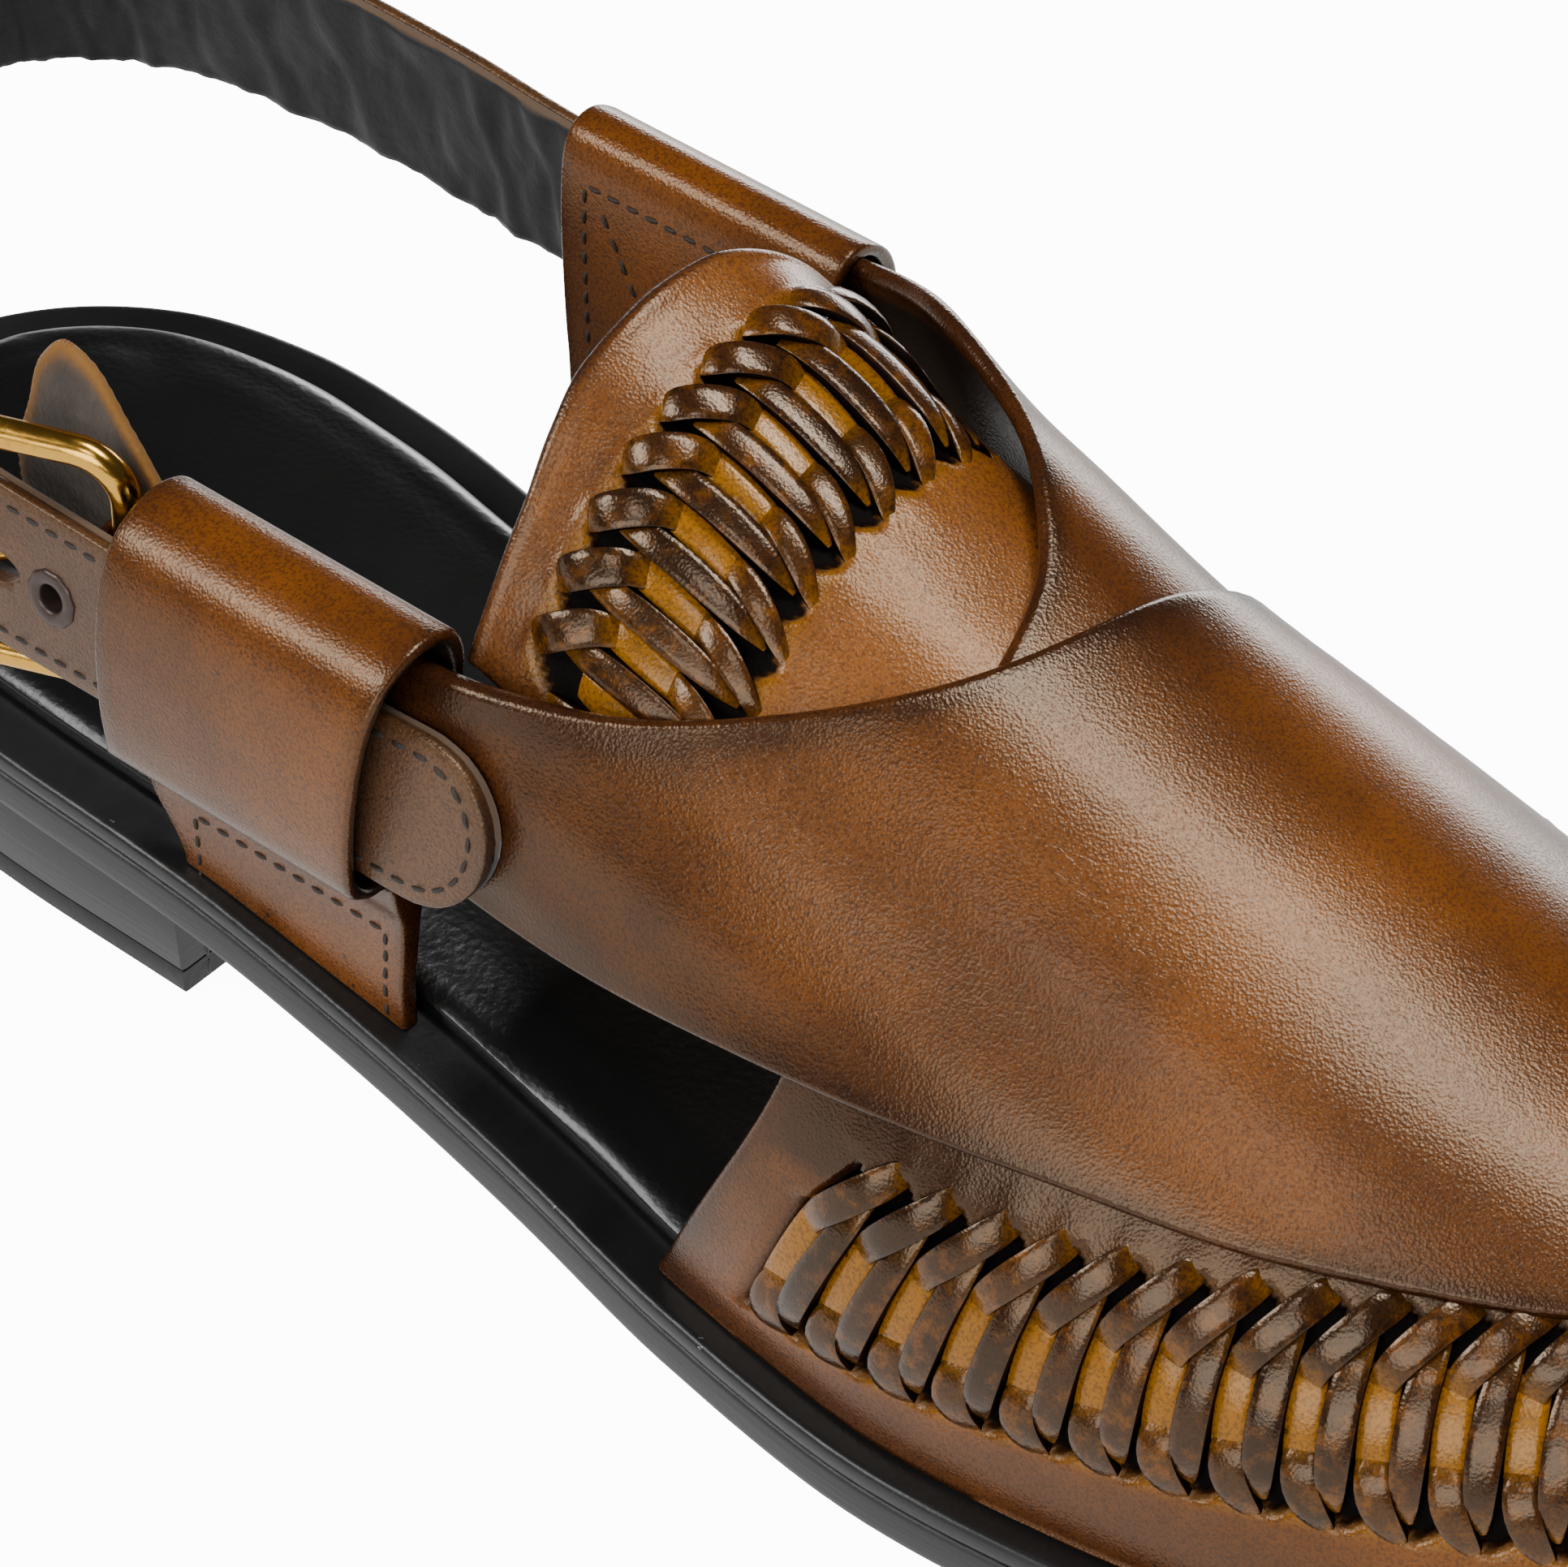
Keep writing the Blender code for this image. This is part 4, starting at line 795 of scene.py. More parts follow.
@dataclass(frozen=True)
class SoleShape:
    """Outline, underside and top of the sole. Stations and reaches are shares of its sizes."""

    length: float = 298 * MM
    ball_width: float = 99.5 * MM
    heel_width: float = 71.5 * MM
    heel_height: float = 13.8 * MM
    heel_length: float = 82 * MM
    toe_spring: float = 6.5 * MM
    instep: float = 92 * MM
    outsole: float = 5.2 * MM
    welt: float = 2.5 * MM
    gap: float = 0.3 * MM
    # outer station, outer reach, inner station, inner reach
    outline: tuple = (
        (0.0000, 0.000, 0.0000, 0.000),
        (0.0074, 0.147, 0.0074, 0.160),
        (0.0285, 0.287, 0.0285, 0.313),
        (0.0671, 0.403, 0.0671, 0.440),
        (0.1208, 0.470, 0.1208, 0.502),
        (0.1846, 0.495, 0.1846, 0.502),
        (0.2617, 0.502, 0.2550, 0.464),
        (0.3423, 0.496, 0.3356, 0.415),
        (0.4362, 0.456, 0.4295, 0.381),
        (0.5302, 0.446, 0.5201, 0.420),
        (0.6208, 0.458, 0.6107, 0.505),
        (0.6980, 0.437, 0.6980, 0.543),
        (0.7785, 0.384, 0.7785, 0.523),
        (0.8523, 0.306, 0.8523, 0.466),
        (0.9161, 0.201, 0.9128, 0.390),
        (0.9631, 0.085, 0.9597, 0.296),
        (0.9933, -0.050, 0.9899, 0.196),
        (1.0000, -0.120, 1.0000, 0.120),
    )
    # station, share of the heel height, share of the toe spring
    profile: tuple = (
        (0.00, 1.00, 0.00),
        (0.20, 0.92, 0.00),
        (0.275, 0.83, 0.00),
        (0.352, 0.55, 0.00),
        (0.453, 0.17, 0.00),
        (0.530, 0.02, 0.00),
        (0.560, 0.00, 0.00),
        (0.720, 0.00, 0.00),
        (0.800, 0.00, 0.14),
        (0.900, 0.00, 0.52),
        (1.000, 0.00, 1.00),
    )

    @functools.lru_cache(maxsize=None)
    def branches(self, inset: float) -> tuple[Array, Array]:
        """Outer and inner branch of the outline, moved inwards by the inset."""
        rows = np.array(self.outline)
        stations = rows[:, [0, 2]] * self.length
        blend = ease((stations / self.length - 0.3) / 0.3)
        width = self.heel_width + (self.ball_width - self.heel_width) * blend
        outer, inner = np.stack([rows[:, [1, 3]] * width * (1, -1), stations], 2).transpose(1, 0, 2)
        loop = closed_curve(np.concatenate([outer, inner[-2:0:-1]]), 40)
        along = unit(np.roll(loop, -1, axis=0) - np.roll(loop, 1, axis=0))
        loop = loop + inset * np.stack([-along[:, 1], along[:, 0]], 1)
        loop = np.roll(loop, -int(np.argmin(loop[:, 1])), axis=0)
        toe = int(np.argmax(loop[:, 1]))
        return loop[: toe + 1], np.concatenate([loop[toe:], loop[:1]])[::-1]

    def reach(self, y: Array, side: Side, inset: float) -> Array:
        """Distance across to the edge at each station."""
        branch = self.branches(inset)[0 if side is Side.OUTER else 1]
        return np.interp(y, branch[:, 1], branch[:, 0])

    def underside(self, y: Array) -> Array:
        """Height of the outsole's underside: heel rise plus toe rise."""
        share = np.asarray(y) / self.length
        heel = self.heel_height * curve_through(self.profile, 1, share)
        return heel + self.toe_spring * curve_through(self.profile, 2, share)

    def top(self, y: Array) -> Array:
        """Height of the welt's upper face."""
        return self.underside(y) + self.outsole + self.gap + self.welt


@dataclass(frozen=True)
class SoleUnit:
    """Outsole, welt, heel stack and heel top piece."""

    shape: SoleShape
    stations: int = 170
    bevel: float = 0.7 * MM
    top_piece: float = 3 * MM

    def layer(
        self, levels: Sequence[tuple[float, Callable[[Array], Array], float]], front: float | None
    ) -> Skin:
        """Stack of outlines, each given by an inset, a height function and a mark for its rim.

        Args:
            levels: From the lowest outline to the highest.
            front: Station of a straight front face, or None to run to the toe.

        Returns:
            The closed skin.
        """
        rings, count = [], self.stations
        for inset, height, _ in levels:
            outer, inner = self.shape.branches(inset)
            first = outer[0, 1]
            last = outer[-1, 1] if front is None else front
            turn = np.linspace(0, math.pi if front is None else math.pi / 2, count)
            share = (1 - np.cos(turn)) / 2 if front is None else 1 - np.cos(turn)
            y = first + (last - first) * share
            right = np.interp(y, outer[:, 1], outer[:, 0])
            left = np.interp(y, inner[:, 1], inner[:, 0])
            z = height(y)
            stop = -1 if front is None else None
            back = np.stack([left, y, z], 1)[1:stop][::-1]
            rings.append(np.concatenate([np.stack([right, y, z], 1), back]))
        skin = Skin()
        rims = np.array([mark for _, _, mark in levels])[:, None]
        index = skin.grid(np.stack(rings), True, {"rim": rims})
        for row, flip in ((index[0], True), (index[-1], False)):
            near = row[:count]
            toe = row[count - 1 : count] if front is None else row[:0]
            far = np.concatenate([row[:1], row[count:][::-1], toe])
            cells = np.stack([near[:-1], far[:-1], far[1:], near[1:]], 1)
            cells = cells if flip else cells[:, ::-1]
            skin.faces += [list(dict.fromkeys(cell)) for cell in cells.tolist()]
        return skin

    def build(self, finishes: Finishes) -> None:
        """Make the four layers, each edge a little rounded."""
        shape, bevel = self.shape, self.bevel
        under = shape.underside

        def at(rise_by: float) -> Callable[[Array], Array]:
            return lambda y: under(y) + rise_by

        def flat(height: float) -> Callable[[Array], Array]:
            return lambda y: np.full_like(y, height)

        thick = shape.outsole
        outsole = (
            (4 * bevel, at(0), 0.0), (1.6 * bevel, at(0), 0.0), (0.7 * bevel, at(0.25 * bevel), 0.2),
            (0.2 * bevel, at(0.9 * bevel), 0.4), (0.0, at(2 * bevel), 0.0), (0.0, at(thick - bevel), 0.0),
            (0.1 * bevel, at(thick - 0.45 * bevel), 0.1), (0.55 * bevel, at(thick - 0.05 * bevel), 0.3),
            (1.4 * bevel, at(thick), 0.0),
        )
        skin = self.layer(outsole, None)
        skin.finish("sole_edge_outsole", finishes.edge, "black_sole_edge", ["outsole"], 50)
        seat, top = thick + shape.gap, thick + shape.gap + shape.welt
        welt = (
            (1.2 * bevel, at(seat), 0.0), (0.5 * bevel, at(seat + 0.05 * bevel), 0.2),
            (0.1 * bevel, at(seat + 0.4 * bevel), 0.0), (0.0, at(seat + bevel), 0.0),
            (0.0, at(top - 1.1 * bevel), 0.3), (0.25 * bevel, at(top - 0.4 * bevel), 1.0),
            (0.8 * bevel, at(top - 0.06 * bevel), 1.0), (1.5 * bevel, at(top), 0.4),
            (4 * bevel, at(top), 0.0),
        )
        skin = self.layer(welt, None)
        skin.finish("sole_edge_welt", finishes.welt, "black_sole_edge", ["welt"], 50)
        low = self.top_piece + shape.gap
        stack = (
            (3.2 * bevel, flat(low), 0.0), (2.2 * bevel, flat(low + 0.3 * bevel), 0.3),
            (1.95 * bevel, flat(low + bevel), 0.0), (1.35 * bevel, at(-0.9 * bevel), 0.0),
            (1.5 * bevel, at(-0.35 * bevel), 0.2), (2.2 * bevel, at(-shape.gap), 0.0),
        )
        skin = self.layer(stack, shape.heel_length)
        skin.finish("heel_lifts", finishes.edge, "black_sole_edge", ["heel_stack"], 40)
        base = (
            (3.3 * bevel, flat(0), 0.0), (2.6 * bevel, flat(0.12 * bevel), 0.2),
            (2.3 * bevel, flat(0.6 * bevel), 0.0), (2.2 * bevel, flat(self.top_piece - 0.5 * bevel), 0.0),
            (2.5 * bevel, flat(self.top_piece), 0.0),
        )
        skin = self.layer(base, shape.heel_length)
        skin.finish("heel_rubber", finishes.rubber, "black_rubber", ["heel_top_piece"], 40)


@dataclass(frozen=True)
class Footbed:
    """Padded insole, blown up a little by a cloth simulation."""

    shape: SoleShape
    inset: float = 6.6 * MM
    thickness: float = 3.2 * MM
    rim: float = 3.4 * MM
    rows: int = 84
    columns: int = 27
    most_move: float = 0.5 * MM

    def surface(self) -> Skin:
        """Closed pad: its top falls to the rim as a quarter circle of the distance from the edge."""
        outer, inner = self.shape.branches(self.inset)
        share = (1 - np.cos(np.linspace(0.045 * math.pi, 0.975 * math.pi, self.rows))) / 2
        y = outer[0, 1] + (outer[-1, 1] - outer[0, 1]) * share
        right = np.interp(y, outer[:, 1], outer[:, 0])
        left = np.interp(y, inner[:, 1], inner[:, 0])
        across = (1 - np.cos(np.linspace(0, math.pi, self.columns))) / 2
        x = left[:, None] + (right - left)[:, None] * across
        flat = np.stack([x, np.broadcast_to(y[:, None], x.shape)], -1)
        loop = np.concatenate([outer, inner[::-1]])
        far = np.min(np.linalg.norm(flat[:, :, None] - loop[None, None], axis=3), axis=2)
        round_off = np.sqrt(np.clip(1 - (1 - np.clip(far / self.rim, 0, 1)) ** 2, 0, 1))
        base = self.shape.top(y)[:, None] + self.shape.gap
        channel = 0.35 * MM * np.exp(-(((far - 5.2 * MM) / (1.2 * MM)) ** 2))
        top = base + self.thickness * (0.30 + 0.70 * round_off) - channel
        upper = np.concatenate([flat, top[..., None]], -1)
        lower = np.concatenate([flat, np.broadcast_to(base[..., None], top[..., None].shape)], -1)
        skin = Skin()
        skin.tube(np.concatenate([upper, lower[:, ::-1]], 1))
        return skin

    def swell(self, pad: bpy.types.Object) -> None:
        """Let air pressure crown the pad over its sewn underside, with a cap on every move."""
        columns, rows = self.columns, self.rows
        number = np.arange(rows * 2 * columns).reshape(rows, 2 * columns)
        group = pad.vertex_groups.new(name="sewn_down")
        group.add(number[:, columns:].ravel().tolist(), 1.0, "REPLACE")
        group.add(number[:, [0, columns - 1]].ravel().tolist(), 1.0, "REPLACE")
        before = np.empty(len(pad.data.vertices) * 3)
        pad.data.vertices.foreach_get("co", before)
        cloth = pad.modifiers.new("Swell", "CLOTH")
        cloth.settings.quality = 5
        cloth.settings.mass = 0.3
        cloth.settings.tension_stiffness = 20
        cloth.settings.compression_stiffness = 20
        cloth.settings.bending_stiffness = 2
        cloth.settings.use_pressure = True
        cloth.settings.uniform_pressure_force = 4
        cloth.settings.effector_weights.gravity = 0
        cloth.settings.vertex_group_mass = "sewn_down"
        cloth.point_cache.frame_start = 1
        cloth.point_cache.frame_end = 20
        for step in range(1, 21):
            bpy.context.scene.frame_set(step)
        graph = bpy.context.evaluated_depsgraph_get()
        blown = pad.evaluated_get(graph).to_mesh()
        after = np.empty_like(before)
        blown.vertices.foreach_get("co", after)
        pad.evaluated_get(graph).to_mesh_clear()
        pad.modifiers.remove(cloth)
        move = (after - before).reshape(-1, 3)
        size = np.linalg.norm(move, axis=1, keepdims=True)
        move *= np.minimum(1, self.most_move / np.maximum(size, 1e-9))
        pad.data.vertices.foreach_set("co", (before.reshape(-1, 3) + move).ravel())
        bpy.context.scene.frame_set(1)

    def build(self, finishes: Finishes) -> None:
        """Make the pad, swell it and smooth it."""
        pad = self.surface().finish("padded_footbed", finishes.footbed, "black_insole_leather", ["insole"])
        self.swell(pad)
        smooth = pad.modifiers.new("Smooth", "SUBSURF")
        smooth.levels = 1
        smooth.render_levels = 1


# ---------------------------------------------------------------- the upper


@dataclass(frozen=True)
class LastShape:
    """Surface of the last, by station and share of its girth from the outer side."""

    sole: SoleShape
    wall: float = 2.2 * MM
    lift: float = 1.4 * MM
    margin: float = 3.5 * MM
    samples: int = 49
    # station, ridge across, ridge height, outer wall, crown, flare, inner wall, crown, flare
    sections: tuple = (
        (0.302, -0.080, 1.130, 0.70, 0.66, 0.110, 0.80, 0.74, 0.240),
        (0.403, -0.100, 1.000, 0.70, 0.68, 0.100, 0.80, 0.74, 0.240),
        (0.503, -0.100, 0.859, 0.64, 0.66, 0.050, 0.77, 0.70, 0.080),
        (0.604, -0.090, 0.728, 0.60, 0.62, 0.010, 0.72, 0.50, 0.000),
        (0.705, -0.090, 0.609, 0.58, 0.60, 0.000, 0.68, 0.45, -0.018),
        (0.805, -0.110, 0.500, 0.58, 0.60, 0.000, 0.66, 0.49, 0.000),
        (0.956, -0.130, 0.370, 0.60, 0.60, 0.000, 0.72, 0.62, 0.000),
    )

    def halves(self, y: Array) -> list[tuple[Array, Array, Array, Array]]:
        """Four control points of each half section at each station."""
        sole, share = self.sole, y / self.sole.length
        ridge_x = sole.ball_width * curve_through(self.sections, 1, share)
        ridge_z = sole.instep * curve_through(self.sections, 2, share)
        foot_z = sole.top(y) + sole.gap
        found = []
        for side, column in ((Side.OUTER, 3), (Side.INNER, 6)):
            upright, crown, flare = (curve_through(self.sections, column + k, share) for k in range(3))
            inset = self.margin + self.wall + (self.lift if side is Side.INNER else 0.0)
            foot_x = sole.reach(y, side, inset)
            wall_x = foot_x + side.value * flare * sole.ball_width
            found.append((
                np.stack([foot_x, foot_z], -1),
                np.stack([wall_x, foot_z + upright * (ridge_z - foot_z)], -1),
                np.stack([ridge_x + crown * (foot_x - ridge_x), ridge_z], -1),
                np.stack([ridge_x, ridge_z], -1),
            ))
        return found

    @staticmethod
    def bezier(ends: Sequence[Array], t: Array) -> Array:
        """Cubic through its four control points."""
        t = t[..., None]
        back = 1 - t
        return back**3 * ends[0] + 3 * t * back**2 * ends[1] + 3 * t * t * back * ends[2] + t**3 * ends[3]

    def surface(self, y: Array, girth: Array) -> Array:
        """Points of the last: the girth is a share of the section's length from the outer foot."""
        girth = np.clip(girth, 0, 1)
        outer, inner = self.halves(y)
        t = np.linspace(0, 1, self.samples)
        up = self.bezier([end[:, None] for end in outer], np.broadcast_to(t, (len(y), len(t))))
        down = self.bezier([end[:, None] for end in inner], np.broadcast_to(t[::-1], (len(y), len(t))))
        section = np.concatenate([up, down[:, 1:]], 1)
        length = np.cumsum(np.linalg.norm(np.diff(section, axis=1), axis=2), 1)
        length = np.concatenate([np.zeros((len(y), 1)), length], 1)
        wanted = girth * length[:, -1]
        cell = np.clip((length < wanted[:, None]).sum(1) - 1, 0, length.shape[1] - 2)
        row = np.arange(len(y))
        start, end = length[row, cell], length[row, cell + 1]
        place = (cell + (wanted - start) / (end - start)) / (self.samples - 1)
        rising = self.bezier(outer, np.clip(place, 0, 1))
        falling = self.bezier(inner, np.clip(2 - place, 0, 1))
        flat = np.where((place <= 1)[:, None], rising, falling)
        return np.stack([flat[:, 0], y, flat[:, 1]], 1)

    def over(self, y: Array, girth: Array, height: Array) -> Array:
        """Points at a height over the last, along the cross product of its two slopes."""
        shape = np.shape(y)
        given = (y, girth, height)
        y, girth, height = (np.ravel(np.broadcast_to(values, shape)).astype(float) for values in given)
        girth = np.clip(girth, 0, 1)
        found = np.empty((len(y), 3))
        step_y, step_girth, batch = 0.5 * MM, 0.004, 9000
        for start in range(0, len(y), batch):
            part = slice(start, start + batch)
            a, g = y[part], girth[part]
            across = self.surface(a, g + step_girth) - self.surface(a, g - step_girth)
            along = self.surface(a + step_y, g) - self.surface(a - step_y, g)
            found[part] = self.surface(a, g) + height[part, None] * unit(np.cross(along, across))
        found[:, 2] = np.maximum(found[:, 2], self.sole.top(found[:, 1]) + self.sole.gap)
        return found.reshape(*shape, 3)


class StripKind(Enum):
    """The four kinds of strip in one woven unit."""

    FLAT = "flat"
    TALL = "tall"
    LEADING = "leading"
    TRAILING = "trailing"


@dataclass(frozen=True)
class Strip:
    """One strip of a woven unit, by its line over the band and its height over the wall."""

    kind: StripKind
    # place across the band, place along in units, height, half width in units
    line: tuple
    ochre: float
    tone: float


@dataclass(frozen=True)
class Weave:
    """A woven band: strips that come out of slots, cross and tuck in again."""

    units: int
    thickness: float = 1.15 * MM
    samples: int = 13
    rise: float = 1.0
    shift: float = 0.46
    # place across the strip, height as a share of the thickness, cut edge
    section: tuple = (
        (-0.95, 0.00, 0.0), (-0.50, 0.06, 0.0), (0.00, 0.09, 0.0),
        (0.50, 0.06, 0.0), (0.95, 0.00, 0.0),
        (1.00, -0.08, 0.8), (1.00, -0.90, 1.0), (-1.00, -0.90, 1.0), (-1.00, -0.08, 0.8),
    )
    strips: tuple = (
        Strip(StripKind.FLAT, (
            (0.26, -0.16, -0.35 * MM, 0.23), (0.34, -0.18, 0.30 * MM, 0.25),
            (0.48, -0.19, 0.60 * MM, 0.255),
            (0.62, -0.19, 0.40 * MM, 0.25), (0.70, -0.18, -0.35 * MM, 0.23)), 0.95, 0.0),
        Strip(StripKind.TALL, (
            (0.15, 0.48, -0.20 * MM, 0.15), (0.25, 0.41, 0.95 * MM, 0.22), (0.38, 0.34, 1.55 * MM, 0.245),
            (0.53, 0.30, 1.75 * MM, 0.250), (0.68, 0.29, 1.50 * MM, 0.230), (0.79, 0.32, 0.85 * MM, 0.170),
            (0.875, 0.38, -0.30 * MM, 0.045)), 0.06, 0.42),
        Strip(StripKind.TRAILING, (
            (0.58, -0.19, 0.05 * MM, 0.20), (0.65, -0.19, 0.95 * MM, 0.240), (0.75, -0.12, 1.35 * MM, 0.245),
            (0.85, 0.04, 1.05 * MM, 0.220), (0.93, 0.22, 0.35 * MM, 0.155),
            (0.995, 0.38, -0.55 * MM, 0.060)), 0.12, 0.25),
        Strip(StripKind.LEADING, (
            (0.005, 0.88, -0.55 * MM, 0.17), (0.045, 0.70, 0.75 * MM, 0.245),
            (0.11, 0.43, 1.65 * MM, 0.265), (0.19, 0.14, 1.75 * MM, 0.265),
            (0.26, -0.07, 1.35 * MM, 0.250), (0.335, -0.21, 0.30 * MM, 0.22)), 0.08, 0.45),
    )

    def floor(self, along: Array, across: Array) -> tuple[Array, Array]:
        """Depth of the slotted wall under the strips, and the same mask again as painted shade that draws the
        slots black.

        The wall is let in where the place across the band lies between two toothed lines,
        whose teeth are triangle waves of one unit.
        """
        slit = 0.62 * ease((0.38 - across) / 0.38) - 0.12
        inside = rise(along - slit, 0.0, 0.06) * rise(self.units - along, 0.02, 0.20)
        wave = np.abs(((along - self.shift + 0.10) % 1.0) - 0.5) * 2
        tooth = 0.03 + 0.115 * (1 - wave) ** 1.3
        wave = np.abs(((along - self.shift - 0.50) % 1.0) - 0.5) * 2
        foot = 0.975 - 0.11 * (1 - wave) ** 1.3
        open_wall = inside * rise(across - tooth, 0.0, 0.035) * rise(foot - across, 0.0, 0.035)
        # painted shade: the second value blackens the slots, where shade falls between the strips
        return open_wall, open_wall

    def teeth(self, along: Array, across: Array) -> Array:
        """Share of ochre on the pointed teeth between the slots, at the band's two edges."""
        inside = rise(along, 0.4, 0.8) * rise(self.units - along, 0.1, 0.4)
        above = np.exp(-(((across - 0.07) / 0.06) ** 2))
        below = np.exp(-(((across - 0.93) / 0.05) ** 2))
        return inside * (0.85 * above + 0.6 * below)

    def gather(self, along: Array, across: Array) -> Array:
        """Small puckers that run from the slots into the plain wall beside the band."""
        inside = rise(along, -0.3, 0.6) * rise(self.units - along, -0.3, 0.6)
        above = np.exp(-np.clip(-across, 0, None) / 0.075) * (across < 0.02)
        below = np.exp(-np.clip(across - 1, 0, None) / 0.06) * (across > 0.98)
        wave = 0.5 + 0.5 * np.cos(2 * math.pi * (along - self.shift - 0.75))
        fine = np.cos(2 * math.pi * (3 * along + 1.7 * across)) * 0.08
        return inside * (above + 0.5 * below) * (wave + fine)

    def build(
        self, name: str, place: Place, pitch: float, finish: bpy.types.Material, reverse: bool = False
    ) -> None:
        """Make every strip of the band.

        Args:
            name: Piece name.
            place: Turns places across and along the band, and heights over its wall, into points.
            pitch: Real length of one unit.
            finish: Leather of the strips.
            reverse: Whether the units run the other way along the band.
        """
        skin = Skin()
        edges = place(np.array([0.0, 1.0]), np.full(2, 0.5), np.zeros(2))
        depth = float(np.linalg.norm(edges[1] - edges[0]))
        for strip in self.strips:
            table = np.array(strip.line)
            knots = np.linspace(0, len(table) - 1, self.samples)
            across, along, height, half = smooth_rows(table, knots).T
            slope = np.stack([np.gradient(along) * pitch, np.gradient(across) * depth], 1)
            square = unit(np.stack([slope[:, 1], -slope[:, 0]], 1))
            sideways = np.array([row[0] for row in self.section])
            lift = np.array([row[1] for row in self.section]) * self.thickness
            wide = half[:, None] * pitch * sideways[None]
            local_along = along[:, None] + square[:, :1] * wide / pitch
            local_across = across[:, None] + square[:, 1:] * wide / depth
            last = self.units - (1 if strip.kind is StripKind.LEADING else 0)
            number = np.arange(last)
            where = number[:, None, None] + self.shift + local_along[None]
            wobble = 1 + 0.10 * np.sin(2.4 * number + len(strip.line))[:, None, None]
            where = self.units - where if reverse else where
            rise_by = (height[None, :, None] * wobble + lift[None, None]) * self.rise
            shape = where.shape
            points = place(np.broadcast_to(local_across[None], shape), where / self.units, rise_by)
            t = np.linspace(0, 1, self.samples)[None, :, None]
            end = np.clip(np.abs(2 * t - 1) - 0.55, 0, 1) / 0.45
            cut = np.array([row[2] for row in self.section])[None, None]
            vary = 0.5 + 0.5 * np.sin(1.9 * number + 2.0 * len(strip.line))[:, None, None]
            cut = cut * (0.35 if strip.kind is StripKind.FLAT else 1.0)
            ochre = np.broadcast_to(strip.ochre + 0.75 * end * (1 - strip.ochre), shape)
            tone = np.broadcast_to(strip.tone * (0.5 + vary) * (1 - 0.5 * end), shape)
            skin.tubes(points, {"cut": cut, "ochre": ochre, "tone": tone})
        skin.finish(name, finish, "ochre_weave_leather", (), 50)


